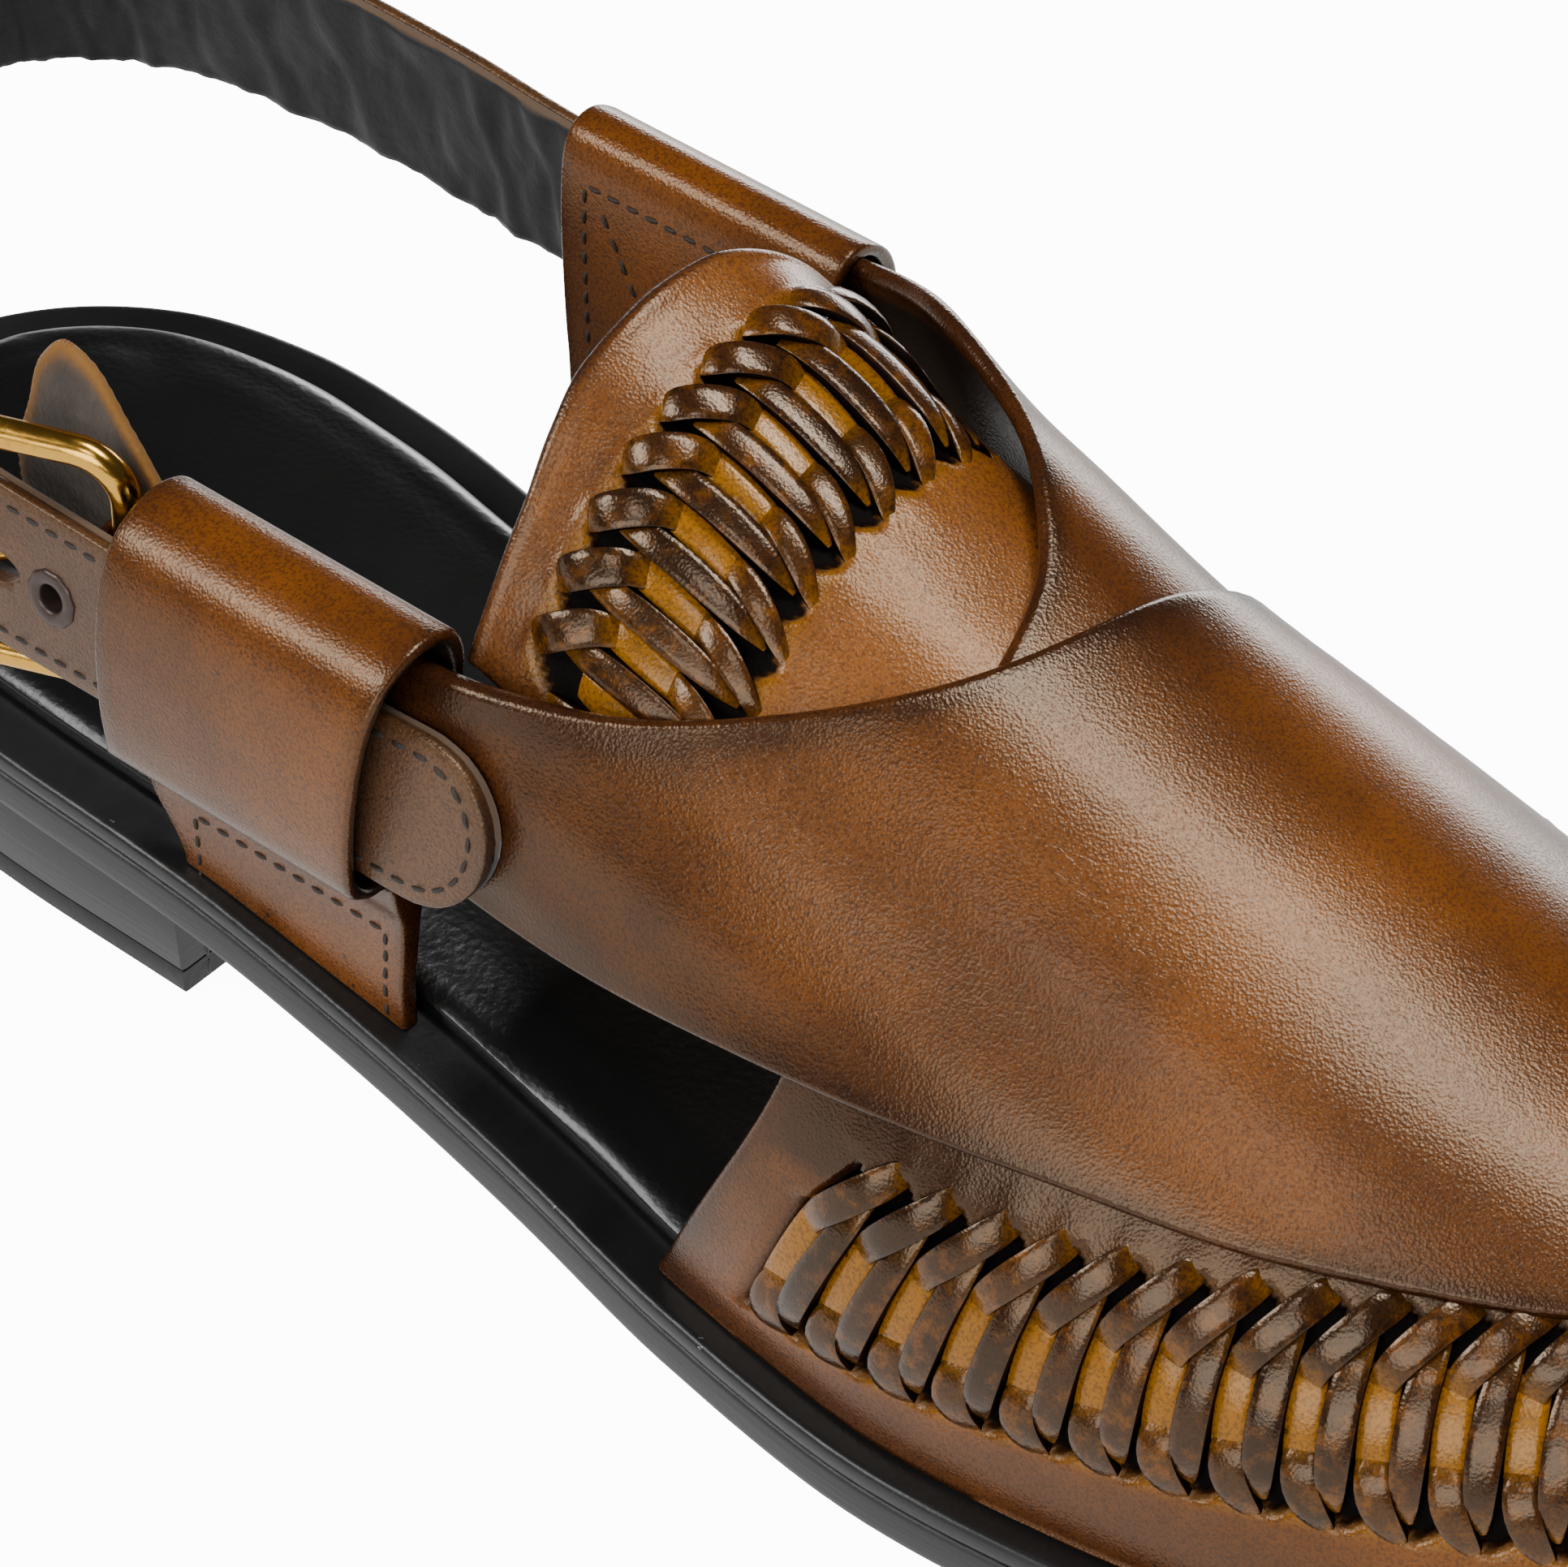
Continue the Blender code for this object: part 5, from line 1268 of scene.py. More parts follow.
@dataclass(frozen=True)
class CrossingStrap:
    """One wide strap, from its keeper over the instep to the far welt, with its woven band."""

    name: str
    last: LastShape
    side: Side
    ribs: tuple
    low: float
    high: float
    weave: Weave = Weave(15)
    band: tuple[float, float] = (7.87, 9.20)
    band_taper: float = 0.10
    span: tuple[float, float] = (0.075, 0.965)
    bulge: float = 1.05 * MM
    # rib, lift of the back edge, lift of the front edge
    lift: tuple = (
        (0, 2.4 * MM, 2.0 * MM),
        (1, 3.0 * MM, 1.8 * MM),
        (2, 3.2 * MM, 1.2 * MM),
        (3, 2.4 * MM, 0.3 * MM),
        (4, 1.2 * MM, 0.0 * MM),
        (5, 0.2 * MM, 0.0 * MM),
        (6, 0.0 * MM, 0.0 * MM),
    )

    def place(self, row: Array, column: Array, height: Array) -> Array:
        """Point of the strap: a rib is a parabola through its back, middle and front points."""
        rib = smooth_rows(self.ribs, row)
        v = np.asarray(column)[..., None]
        back_share, front_share = (1 - v) * (1 - 2 * v), v * (2 * v - 1)
        spot = back_share * rib[..., 0:2] + 4 * v * (1 - v) * rib[..., 2:4] + front_share * rib[..., 4:6]
        station, girth = spot[..., 0] * self.last.sole.length, spot[..., 1]
        if self.side is Side.INNER:
            girth = 1 - girth
            back, front = (curve_through(self.lift, k, row) for k in (1, 2))
            height = height + back + column * (front - back)
        return self.last.over(station, girth, height)

    def band_depth(self, along: Array) -> Array:
        """Rows that the band takes up: fewer towards the toe."""
        return self.band[1] - self.band_taper * along - self.band[0]

    def on_band(self, across: Array, along: Array, height: Array) -> Array:
        """Point of the woven band, at a height over the strap's outer face."""
        start, end = self.span
        row = self.band[0] + across * self.band_depth(along)
        return self.place(row, start + along * (end - start), self.high + height)

    def columns(self) -> Array:
        """Places across the strap, finer over the band."""
        start, end = self.span
        middle = np.linspace(start, end, self.weave.units * 12 + 1)
        return np.concatenate([np.linspace(0, start, 7)[:-1], middle, np.linspace(end, 1, 5)[1:]])

    def rows(self) -> Array:
        """Places along the strap, finer over the band."""
        first, last = self.band
        plain = np.linspace(0, first - 0.5, 58)
        near = np.linspace(first - 0.5, first, 14)[1:]
        return np.concatenate([plain, near, np.linspace(first, last, 42)[1:], np.linspace(last, 11, 16)[1:]])

    def tone(self, row: Array, column: Array) -> Array:
        """Darkening: burnishing at the edges, at the keeper and beside the woven band, plus painted shade on
        the inner strap under the outer strap's front edge.
        """
        edge = np.exp(-column / 0.04) + np.exp(-(1 - column) / 0.035)
        keeper = 0.85 * (1 - rise(row, 0.8, 6.6))
        if self.side is Side.INNER:
            # painted shade: on the inner strap, rows 6.6 to 8.2 lie under the outer strap's front edge and
            # are drawn darker
            band_tone_and_overlap_shade = 0.95 * rise(row, 6.6, 7.7) * (1 - rise(row, 8.0, 8.2)) + 0.35 * rise(row, 9.1, 9.5)
            keeper = 0.35 * (1 - rise(row, 0.8, 6.2))
        else:
            band_tone_and_overlap_shade = 0.5 * rise(row, 7.2, 8.0) + 0.18 * rise(np.abs(column - 0.5), 0.2, 0.5)
        return np.clip(edge + keeper + band_tone_and_overlap_shade, 0, 1)

    def build(self, finishes: Finishes) -> None:
        """Make the strap's wall, rolled over at both edges, and its strips."""
        rows, columns = self.rows()[:, None], self.columns()[None]
        along = (columns - self.span[0]) / (self.span[1] - self.span[0]) * self.weave.units
        across = (rows - self.band[0]) / self.band_depth(along / self.weave.units)
        # black is painted shade in the slots; it goes to the cut mark together with the strips' cut edges
        depth, black = self.weave.floor(along, across)
        relief = -1.60 * MM * depth + 0.20 * MM * self.weave.gather(along, across)
        spot = np.stack(np.broadcast_arrays(rows, columns * 9), -1)
        relief = relief + ripple(spot, ((0.10 * MM, 1.3, 0.9, 0.4), (0.07 * MM, 2.9, -1.7, 1.9)))
        wall = (self.high - self.low) / 2
        middle = (self.high + self.low) / 2
        turn = np.linspace(0, math.pi, 9)[1:-1]
        coarse = self.columns()[::9][None]
        coarse = np.concatenate([[[0.0]], coarse[:, 1:-1], [[1.0]]], 1)
        full = (len(rows), columns.shape[1])
        edge_size = []
        for column in (0.0, 1.0):
            near = self.place(rows, np.full_like(rows, column), np.full_like(rows, middle))
            far = self.place(rows, np.full_like(rows, abs(column - 0.04)), np.full_like(rows, middle))
            edge_size.append(self.bulge * 0.04 / np.linalg.norm(near - far, axis=-1))
        front = 1 + edge_size[1] * np.sin(turn)[None]
        back = -edge_size[0] * np.sin(turn)[None]
        shape = (len(rows), len(turn))
        ring_columns = np.concatenate([
            np.broadcast_to(columns, full), front,
            np.broadcast_to(coarse[:, ::-1], (len(rows), coarse.shape[1])), back], 1)
        ring_heights = np.concatenate([
            self.high + relief,
            np.broadcast_to(middle + wall * np.cos(turn)[None], shape),
            np.full((len(rows), coarse.shape[1]), self.low),
            np.broadcast_to(middle - wall * np.cos(turn)[None], shape)], 1)
        points = self.place(np.broadcast_to(rows, ring_columns.shape), ring_columns, ring_heights)
        blank = np.zeros((len(rows), ring_columns.shape[1] - full[1]))
        count = len(turn)
        inner = blank.copy()
        inner[:, count + 1 : -count - 1] = 1.0
        rim = 0.9 - 0.9 * inner
        crease = rise(rows, 2.0, 3.2) * (1 - rise(rows, 4.6, 6.0))
        crease = crease * rise(columns, 0.12, 0.3) * (1 - rise(columns, 0.55, 0.85))
        marks = {
            "tone": np.concatenate([np.broadcast_to(self.tone(rows, columns), full), rim], 1),
            "cut": np.concatenate([black, blank], 1),
            "inner": np.concatenate([np.zeros(full), inner], 1),
            "crease": np.concatenate([np.broadcast_to(crease, full), blank], 1),
            "ochre": np.concatenate([np.broadcast_to(self.weave.teeth(along, across), full), blank], 1),
        }
        skin = Skin()
        skin.tube(points, marks)
        skin.finish(self.name, finishes.cognac, "cognac_leather", ["upper"])
        ends = self.on_band(np.full(2, 0.5), np.array([0.2, 0.8]), np.zeros(2))
        pitch = float(np.linalg.norm(ends[1] - ends[0])) / (0.6 * self.weave.units)
        self.weave.build(self.name + "_strips", self.on_band, pitch, finishes.strips)


@dataclass(frozen=True)
class Tongue:
    """Rounded tongue under the crossing straps, with an arched woven band."""

    last: LastShape
    inner_ribs: tuple
    weave: Weave = Weave(11, rise=0.95)
    wall: float = 1.9 * MM
    clearance: float = 0.75 * MM
    front: float = 0.575
    band: float = 0.422
    girths: tuple[float, float] = (0.283, 0.6645)
    # girth, front station of the band
    band_front: tuple = ((0.27, 0.506), (0.36, 0.505), (0.45, 0.500), (0.55, 0.500), (0.74, 0.503))
    # girth, back station
    edge: tuple = (
        (0.272, 0.4035),
        (0.313, 0.4045),
        (0.354, 0.404),
        (0.399, 0.400),
        (0.436, 0.397),
        (0.481, 0.397),
        (0.521, 0.399),
        (0.563, 0.404),
        (0.610, 0.412),
        (0.660, 0.426),
        (0.735, 0.460),
    )

    def place(self, row: Array, girth: Array, height: Array) -> Array:
        """Point of the tongue: rows 0 to 3 are its back edge, its band's two edges and its front."""
        row, girth, height = np.broadcast_arrays(row, girth, height)
        back = curve_through(self.edge, 1, girth)
        first, last = np.maximum(self.band, back + 0.012), curve_through(self.band_front, 1, girth)
        stations = np.stack([back, first, last, np.full_like(back, self.front)], -1)
        cell = np.clip(np.floor(row).astype(int), 0, 2)[..., None]
        start = np.take_along_axis(stations, cell, -1)[..., 0]
        end = np.take_along_axis(stations, cell + 1, -1)[..., 0]
        station = start + (row - cell[..., 0]) * (end - start)
        edge = 1 - curve_through([(rib[0], rib[1]) for rib in self.inner_ribs[:7]], 1, station)
        sink = 1.2 * MM * ease((girth - 0.56) / 0.10)
        hidden = np.clip((girth - edge + 0.035) / 0.02, 0, 1)
        face = -self.clearance
        tucked = height + (np.minimum(height, face) - height) * hidden
        height = np.where(height > face - self.wall / 2, tucked, height)
        return self.last.over(station * self.last.sole.length, girth, height - sink)

    def on_band(self, across: Array, along: Array, height: Array) -> Array:
        """Point of the woven band, at a height over the tongue's face."""
        first, last = self.girths
        return self.place(1 + across, first + along * (last - first), height - self.clearance)

    def build(self, finishes: Finishes) -> None:
        """Make the tongue's wall, rolled over at its back edge, and its strips."""
        first, last = self.girths
        low, high = self.edge[0][0], self.edge[-1][0]
        woven = np.linspace(first, last, self.weave.units * 12 + 1)
        sides = np.linspace(low, first, 6)[:-1], np.linspace(last, high, 8)[1:]
        columns = np.concatenate([sides[0], woven, sides[1]])[None]
        parts = np.linspace(0, 1, 15), np.linspace(1, 2, 34)[1:], np.linspace(2, 3, 10)[1:]
        outer_rows = np.concatenate(parts)[:, None]
        face, back = -self.clearance, -self.clearance - self.wall
        along = self.weave.units - (columns - first) / (last - first) * self.weave.units
        across = outer_rows - 1
        # black is painted shade in the slots; it goes to the cut mark together with the strips' cut edges
        depth, black = self.weave.floor(along, across)
        relief = -0.85 * MM * depth + 0.26 * MM * self.weave.gather(along, across)
        bead = 0.25 * MM * np.exp(-((outer_rows - 0.10) / 0.10) ** 2)
        spot = np.stack(np.broadcast_arrays(outer_rows * 2, columns * 60), -1)
        relief = relief + bead + ripple(spot, ((0.08 * MM, 1.3, 0.7, 0.4), (0.05 * MM, 2.3, -1.1, 1.9)))
        turn = np.linspace(0, math.pi, 9)[1:-1]
        middle, half = (face + back) / 2, (face - back) / 2
        rim_rows = -0.085 * np.sin(turn)[:, None]
        inner_rows = np.linspace(0, 3, 12)[:, None]
        rows = np.concatenate([rim_rows[::-1], outer_rows, inner_rows[::-1]])
        heights = np.concatenate([
            np.broadcast_to(middle + half * np.cos(turn)[::-1, None], (len(turn), columns.shape[1])),
            face + relief,
            np.full((len(inner_rows), columns.shape[1]), back)])
        shape = heights.shape
        points = self.place(np.broadcast_to(rows, shape), np.broadcast_to(columns, shape), heights)
        blank_first, blank_last = np.zeros((len(turn), shape[1])), np.zeros((len(inner_rows), shape[1]))
        darkening = 0.75 * np.exp(-outer_rows / 0.10) + 0.22 * np.exp(-((outer_rows - 0.85) / 0.3) ** 2)
        sides = 0.5 * np.exp(-(columns - low) / 0.02) + 0.6 * rise(columns, 0.60, 0.68)
        tone = np.clip(darkening + sides + 0 * columns, 0, 1)
        marks = {
            "tone": np.concatenate([blank_first + 0.95, tone, blank_last]),
            "cut": np.concatenate([blank_first, black, blank_last]),
            "inner": np.concatenate([blank_first, np.zeros_like(black), blank_last + 1]),
            "ochre": np.concatenate([blank_first, self.weave.teeth(along, across), blank_last]),
        }
        skin = Skin()
        # The grid is turned so that the rows wrap and the two sides are capped
        turned = {name: value.T for name, value in marks.items()}
        skin.tube(points.transpose(1, 0, 2), turned)
        skin.finish("rounded_tongue", finishes.tongue, "ochre_weave_leather", ["tongue"])
        arc = self.on_band(np.full(40, 0.5), np.linspace(0, 1, 40), np.zeros(40))
        pitch = float(lengths_along(arc)[-1]) / self.weave.units
        self.weave.build("tongue_strips", self.on_band, pitch, finishes.strips, True)


# ---------------------------------------------------------------- keepers, strap and buckle


@dataclass(frozen=True)
class Keeper:
    """Folded leather loop on the welt that holds a strap's end."""

    name: str
    node: str
    sole: SoleShape
    start: float
    outer: tuple
    hollow: tuple
    foot_length: float = 31 * MM
    length: float = 37.5 * MM
    height: float = 56 * MM
    round_over: float = 0.65 * MM
    foot_lean: float = 4.0 * MM

    def sections(self) -> tuple[Array, Array]:
        """Outer line from foot to foot, and the hollow's loop, both across and up."""
        size = (self.sole.heel_width, self.sole.instep)
        fine = np.linspace(0, len(self.outer) - 1, 8 * (len(self.outer) - 1) + 1)
        outer = smooth_rows(self.outer, fine) * size
        hollow = closed_curve(np.array(self.hollow) * size, 7)
        return outer, hollow

    def lay(self, ring: Array, share: Array, into: Array) -> Array:
        """Place rings along the shoe: the crest is longer than the foot, in proportion to height.

        Args:
            ring: Points across and up.
            share: Place of each row along the keeper.
            into: How far each row's outline is drawn in, along the ring's normals.

        Returns:
            Rows of points.
        """
        foot = float(self.sole.top(np.array([self.start]))[0])
        growth = np.clip((ring[:, 1] - foot) / self.height, 0, 1)
        length = self.foot_length + growth * (self.length - self.foot_length)
        flat = ring[None] - into[:, None, None] * ring_normals(ring)[None]
        above = ring[:, 1] - foot
        lean = self.foot_lean * rise(above, 1 * MM, 10 * MM) * (1 - rise(above, 15 * MM, 24 * MM))
        y = self.start + share[:, None] * length[None] - (1 - share[:, None]) * lean[None]
        low = self.sole.top(y) + 0.3 * MM
        z = np.where(ring[None, :, 1] < foot * 0.6, low, np.maximum(flat[..., 1], low))
        return np.stack([flat[..., 0], y, z], -1)

    def build(self, finishes: Finishes, lines: Sequence[tuple[tuple[float, float], ...]]) -> None:
        """Make the loop with rounded ends, and its stitches.

        Args:
            finishes: The shoe's materials.
            lines: Stitch lines as corners, each a row number of the outer table and a share along.
        """
        outer, hollow = self.sections()
        ends = np.linspace(0, math.pi / 2, 5)
        near = self.round_over * (1 - np.sin(ends))
        step = self.round_over * (1 - np.cos(ends)) / self.length
        share = np.concatenate([step, np.linspace(step[-1], 1 - step[-1], 22)[1:-1], 1 - step[::-1]])
        into = np.concatenate([near, np.zeros(20), near[::-1]])
        skin = Skin()
        number = np.linspace(0, len(self.outer) - 1, len(outer))[None]
        cover = 0.25 + 0.55 * np.exp(-np.minimum(share, 1 - share)[:, None] / 0.04)
        low = 0.30 * np.exp(-((number - 3.4) / 0.5) ** 2)
        marks = {"tone": np.clip(cover + low, 0, 1)}
        skin_outer = skin.grid(self.lay(outer, share, into), False, marks)
        lined = {"inner": np.ones((1, 1)), "tone": np.ones((1, 1))}
        inside = skin.grid(self.lay(hollow, share, -into)[:, ::-1], True, lined)
        loops = (skin_outer, inside[:, ::-1])
        points = np.concatenate(skin.points)
        for row in (0, -1):
            flat = [[Vector((x, z, 0)) for x, _, z in points[loop[row]].tolist()] for loop in loops]
            index = np.concatenate([loop[row] for loop in loops])
            triangles = index[np.array(tessellate_polygon(flat))]
            side = points[triangles]
            facing = np.cross(side[:, 1] - side[:, 0], side[:, 2] - side[:, 0])[:, 1].sum()
            wanted = -1 if row == 0 else 1
            skin.faces += (triangles if facing * wanted > 0 else triangles[:, ::-1]).tolist()
        ring = skin_outer[:, [0, -1]]
        skin.faces += np.stack([ring[:-1, 1], ring[:-1, 0], ring[1:, 0], ring[1:, 1]], 1).tolist()
        self.face_outwards(skin, skin_outer, inside)
        made = skin.finish(self.name, finishes.cognac, "cognac_leather", [self.node], 50, outward=False)
        LOG.info("%s spans %d rows", made.name, len(share))
        self.sew(finishes, outer, lines)

    def face_outwards(self, skin: Skin, outer: Array, inside: Array) -> None:
        """Turn the outer and inner grids so that both face out of the leather.

        The outer grid's faces should point away from the middle of its ring, the inner
        grid's towards it, judged by the sum of the faces' normals along the way out.
        """
        points = np.concatenate(skin.points)
        table = {tuple(face): number for number, face in enumerate(skin.faces) if len(face) == 4}
        for grid, sign in ((outer, 1), (inside, -1)):
            known = set(grid.ravel().tolist())
            members = np.array([face for face in table if face[0] in known and face[2] in known])
            side = points[members]
            normal = np.cross(side[:, 2] - side[:, 0], side[:, 3] - side[:, 1])
            middle = points[grid].mean((0, 1))
            out = side.mean(1) - middle
            out[:, 1] = 0
            if sign * np.sum(normal * out) < 0:
                for face in members:
                    number = table[tuple(face)]
                    skin.faces[number] = skin.faces[number][::-1]

    def sew(self, finishes: Finishes, outer: Array, lines: Sequence[tuple[tuple[float, float], ...]]) -> None:
        """Lay thread along straight runs between the corners of each line."""
        rows = np.linspace(0, len(self.outer) - 1, len(outer))
        normal = ring_normals(outer)
        foot = float(self.sole.top(np.array([self.start]))[0])
        run = StitchRun()
        skin = Skin()
        for line in lines:
            corners = np.array(line, float)
            for first, second in zip(corners[:-1], corners[1:]):
                way = first + (second - first) * np.linspace(0, 1, 30)[:, None]
                spot = np.stack([np.interp(way[:, 0], rows, outer[:, k]) for k in range(2)], 1)
                face = np.stack([np.interp(way[:, 0], rows, normal[:, k]) for k in range(2)], 1)
                growth = np.clip((spot[:, 1] - foot) / self.height, 0, 1)
                y = self.start + way[:, 1] * (self.foot_length + growth * (self.length - self.foot_length))
                path = np.stack([spot[:, 0], y, spot[:, 1]], 1)
                run.add(skin, path, np.stack([face[:, 0], 0 * y, face[:, 1]], 1))
        skin.finish(self.name + "_stitches", finishes.thread, "cognac_leather")


@dataclass(frozen=True)
class BackStrap:
    """Strap round the heel: a leather face, a wrinkled suede lining and two rows of stitches."""

    sole: SoleShape
    width: float = 19.6 * MM
    thickness: float = 2.3 * MM
    lining: float = 0.95 * MM
    first_eyelet: float = 74.2 * MM
    eyelet_pitch: float = 9 * MM
    hole: float = 1.9 * MM
    # across, along, height, lean
    path: tuple = (
        (0.527, 0.441, 0.570, 0.20),
        (0.531, 0.416, 0.568, 0.19),
        (0.538, 0.386, 0.571, 0.17),
        (0.545, 0.349, 0.578, 0.14),
        (0.550, 0.312, 0.589, 0.12),
        (0.551, 0.279, 0.600, 0.10),
        (0.552, 0.245, 0.603, 0.12),
        (0.554, 0.215, 0.607, 0.13),
        (0.550, 0.174, 0.613, 0.10),
        (0.534, 0.128, 0.620, 0.07),
        (0.497, 0.081, 0.629, 0.04),
        (0.427, 0.037, 0.638, 0.02),
        (0.308, 0.003, 0.643, 0.02),
        (0.140, -0.018, 0.646, 0.02),
        (-0.042, -0.023, 0.647, 0.02),
        (-0.210, -0.015, 0.648, 0.02),
        (-0.357, 0.000, 0.651, 0.02),
        (-0.464, 0.027, 0.657, 0.02),
        (-0.526, 0.064, 0.663, 0.02),
        (-0.551, 0.124, 0.672, 0.02),
        (-0.545, 0.193, 0.675, 0.02),
        (-0.530, 0.242, 0.675, 0.03),
        (-0.524, 0.282, 0.674, 0.04),
        (-0.523, 0.319, 0.673, 0.04),
    )
    # row of the path, share of the half width
    tip: tuple = (
        (0.0, 0.14), (0.02, 0.20), (0.05, 0.29), (0.10, 0.40), (0.17, 0.50), (0.26, 0.60),
        (0.38, 0.71), (0.52, 0.80), (0.70, 0.89), (0.90, 0.95), (1.1, 0.99), (1.3, 1.0),
    )

    def frames(self, at: Array) -> tuple[Array, Array, Array]:
        """Centre points, outward directions and up directions at rows of the path."""
        size = (self.sole.heel_width, self.sole.length, self.sole.instep)
        rows = smooth_rows(self.path, at)
        way = (smooth_rows(self.path, at + 0.01) - smooth_rows(self.path, at - 0.01))[:, :2] * size[:2]
        way = unit(way)
        level = np.stack([-way[:, 1], way[:, 0], 0 * way[:, 0]], 1)
        upright = np.stack([0 * way[:, 0], 0 * way[:, 0], np.ones(len(way))], 1)
        lean = rows[:, 3:4]
        scale = np.sqrt(1 + lean**2)
        return rows[:, :3] * size, (level + upright * lean) / scale, (upright - level * lean) / scale

    def row_at(self, y: float) -> float:
        """Row of the path at which its outer side reaches a station."""
        numbers = np.linspace(0, 9, 400)
        stations = smooth_rows(self.path, numbers)[:, 1] * self.sole.length
        return float(np.interp(-y, -stations, numbers))

    def matrix(self, y: float) -> Matrix:
        """Place on the strap's middle at a station, with Z out of its face."""
        centre, out, up = (values[0] for values in self.frames(np.array([self.row_at(y)])))
        return placed(np.cross(up, out), up, out, centre - (0, HEEL_MIDDLE, 0))

    def half_width(self, at: Array) -> Array:
        """Half the strap's width: narrower over its rounded tip."""
        return self.width / 2 * np.interp(at, [row for row, _ in self.tip], [share for _, share in self.tip])

    def rows(self) -> Array:
        """Rows of the path at which the strap has points."""
        tip = [row for row, _ in self.tip]
        return np.concatenate([tip, np.arange(1.35, len(self.path) - 1, 0.055), [len(self.path) - 1.0]])

    def ply(self, low: float, high: float, soft: float, outer_count: int) -> tuple[Array, Array, Array]:
        """Section of one ply: outward place, share of the half width, and pull towards the middle."""
        turn = np.linspace(0, math.pi, 7)
        middle, half = (low + high) / 2, (high - low) / 2
        face = np.linspace(-1, 1, outer_count)[1:-1]
        bent = half * np.cos(turn)
        outer, inner = np.full(len(face), high), np.full(len(face), low)
        side = np.concatenate([outer, middle + bent, inner, middle - bent])
        end = np.concatenate([face, np.ones(7), face[::-1], -np.ones(7)])
        soft_end = soft * (1 - np.sin(turn))
        pull = np.concatenate([0 * face, -soft_end, 0 * face, soft_end])
        return side, end, pull

    def grid(
        self, low: float, high: float, soft: float, count: int, trim: float
    ) -> tuple[Array, Array, Array]:
        """Points of one ply, with the row and the share of the width of each."""
        at = self.rows()
        centre, out, up = self.frames(at)
        side, end, pull = self.ply(low, high, soft, count)
        half = self.half_width(at) - trim
        points = centre[:, None] + out[:, None] * side[None, :, None]
        points = points + up[:, None] * (end[None] * half[:, None] + pull[None])[..., None]
        shape = points.shape[:2]
        return points, np.broadcast_to(at[:, None], shape), np.broadcast_to(end[None], shape)

    def cut_holes(self, ply: bpy.types.Object) -> None:
        """Take the eyelet holes and the prong's slot out of a ply, and keep the plain result."""
        cutters = []
        first, pitch = self.first_eyelet, self.eyelet_pitch
        sides, radius, reach = 32, self.hole, 4 * MM
        turn = np.linspace(0, 2 * math.pi, sides, endpoint=False)
        walls = [[i, (i + 1) % sides, sides + (i + 1) % sides, sides + i] for i in range(sides)]
        caps = [list(range(sides - 1, -1, -1)), list(range(sides, 2 * sides))]
        for station, stretch in ((first, 1.0), (first - 2 * pitch, 1.0), (first - pitch, 2.4)):
            circle = np.stack([radius * stretch * np.cos(turn), radius * np.sin(turn)], 1)
            rings = np.stack([np.insert(circle, 2, height, axis=1) for height in (-reach, reach)])
            mesh = bpy.data.meshes.new("hole")
            mesh.from_pydata(rings.reshape(-1, 3).tolist(), [], walls + caps)
            cutter = bpy.data.objects.new("hole", mesh)
            bpy.context.scene.collection.objects.link(cutter)
            cutter.matrix_world = self.matrix(station)
            cutters.append(cutter)
            cut = ply.modifiers.new("Cut", "BOOLEAN")
            cut.operation = "DIFFERENCE"
            cut.solver = "EXACT"
            cut.object = cutter
        bpy.context.view_layer.update()
        graph = bpy.context.evaluated_depsgraph_get()
        result = bpy.data.meshes.new_from_object(ply.evaluated_get(graph))
        ply.modifiers.clear()
        old, ply.data = ply.data, result
        bpy.data.meshes.remove(old)
        for cutter in cutters:
            bpy.data.objects.remove(cutter, do_unlink=True)

    def build(self, finishes: Finishes) -> None:
        """Make the leather face, the lining and the stitches along both edges."""
        half = self.thickness / 2
        points, at, end = self.grid(-half + self.lining, half, 0.35 * MM, 12, 0.0)
        centre, out, _ = self.frames(self.rows())
        bow = 0.35 * MM * (1 - np.clip(np.abs(end), 0, 1) ** 2.5)
        points = points + out[:, None] * (bow * np.where(np.arange(points.shape[1]) < 10, 1, 0))[..., None]
        edge = rise(np.abs(end), 0.80, 1.0)
        darkening = 0.15 + 0.55 * edge + 0.25 * (1 - rise(at, 0.0, 0.5))
        marks = {"tone": darkening, "ochre": 0.35 * rise(np.abs(end), 0.93, 1.0)}
        skin = Skin()
        skin.tube(points, marks)
        face = skin.finish("heel_strap_leather", finishes.strap, "cognac_leather", ["back_strap"])
        self.cut_holes(face)
        points, at, end = self.grid(-half, -half + self.lining, 0.2 * MM, 22, 0.15 * MM)
        _, out, up = self.frames(self.rows())
        spot = np.stack([at * 9, end * 3], -1)
        # the ply has 20 points on each face and 7 round each edge, outer face first
        inner_face = np.zeros(points.shape[1])
        inner_face[20 + 7 - 1 : 20 + 7 + 20 + 1] = 1
        folds = ((0.30 * MM, 0.35, 0.5, 0.3), (0.24 * MM, 0.8, -0.9, 1.3), (0.13 * MM, 1.5, 0.8, 2.2))
        wrinkle = ripple(spot, (*folds, (0.06 * MM, 2.6, 2.0, 0.9)))
        wrinkle = wrinkle * inner_face[None] * rise(at, 7.5, 9.5)
        points = points - out[:, None] * (np.abs(wrinkle) * 1.3)[..., None]
        fray = 0.05 * MM * (np.sin(37 * at + 5 * end) + 0.6 * np.sin(83 * at))
        fray = fray * (end < -0.98) * rise(at, 7.5, 9.0)
        points = points + up[:, None] * np.clip(fray, -1, 0.3 * MM)[..., None]
        skin = Skin()
        skin.tube(points, {"ochre": 0.5 * rise(end, 0.97, 1.0) * (1 - inner_face[None])})
        lining = skin.finish("heel_strap_lining", finishes.lining, "cognac_leather", ["back_strap"])
        self.cut_holes(lining)
        self.sew(finishes)

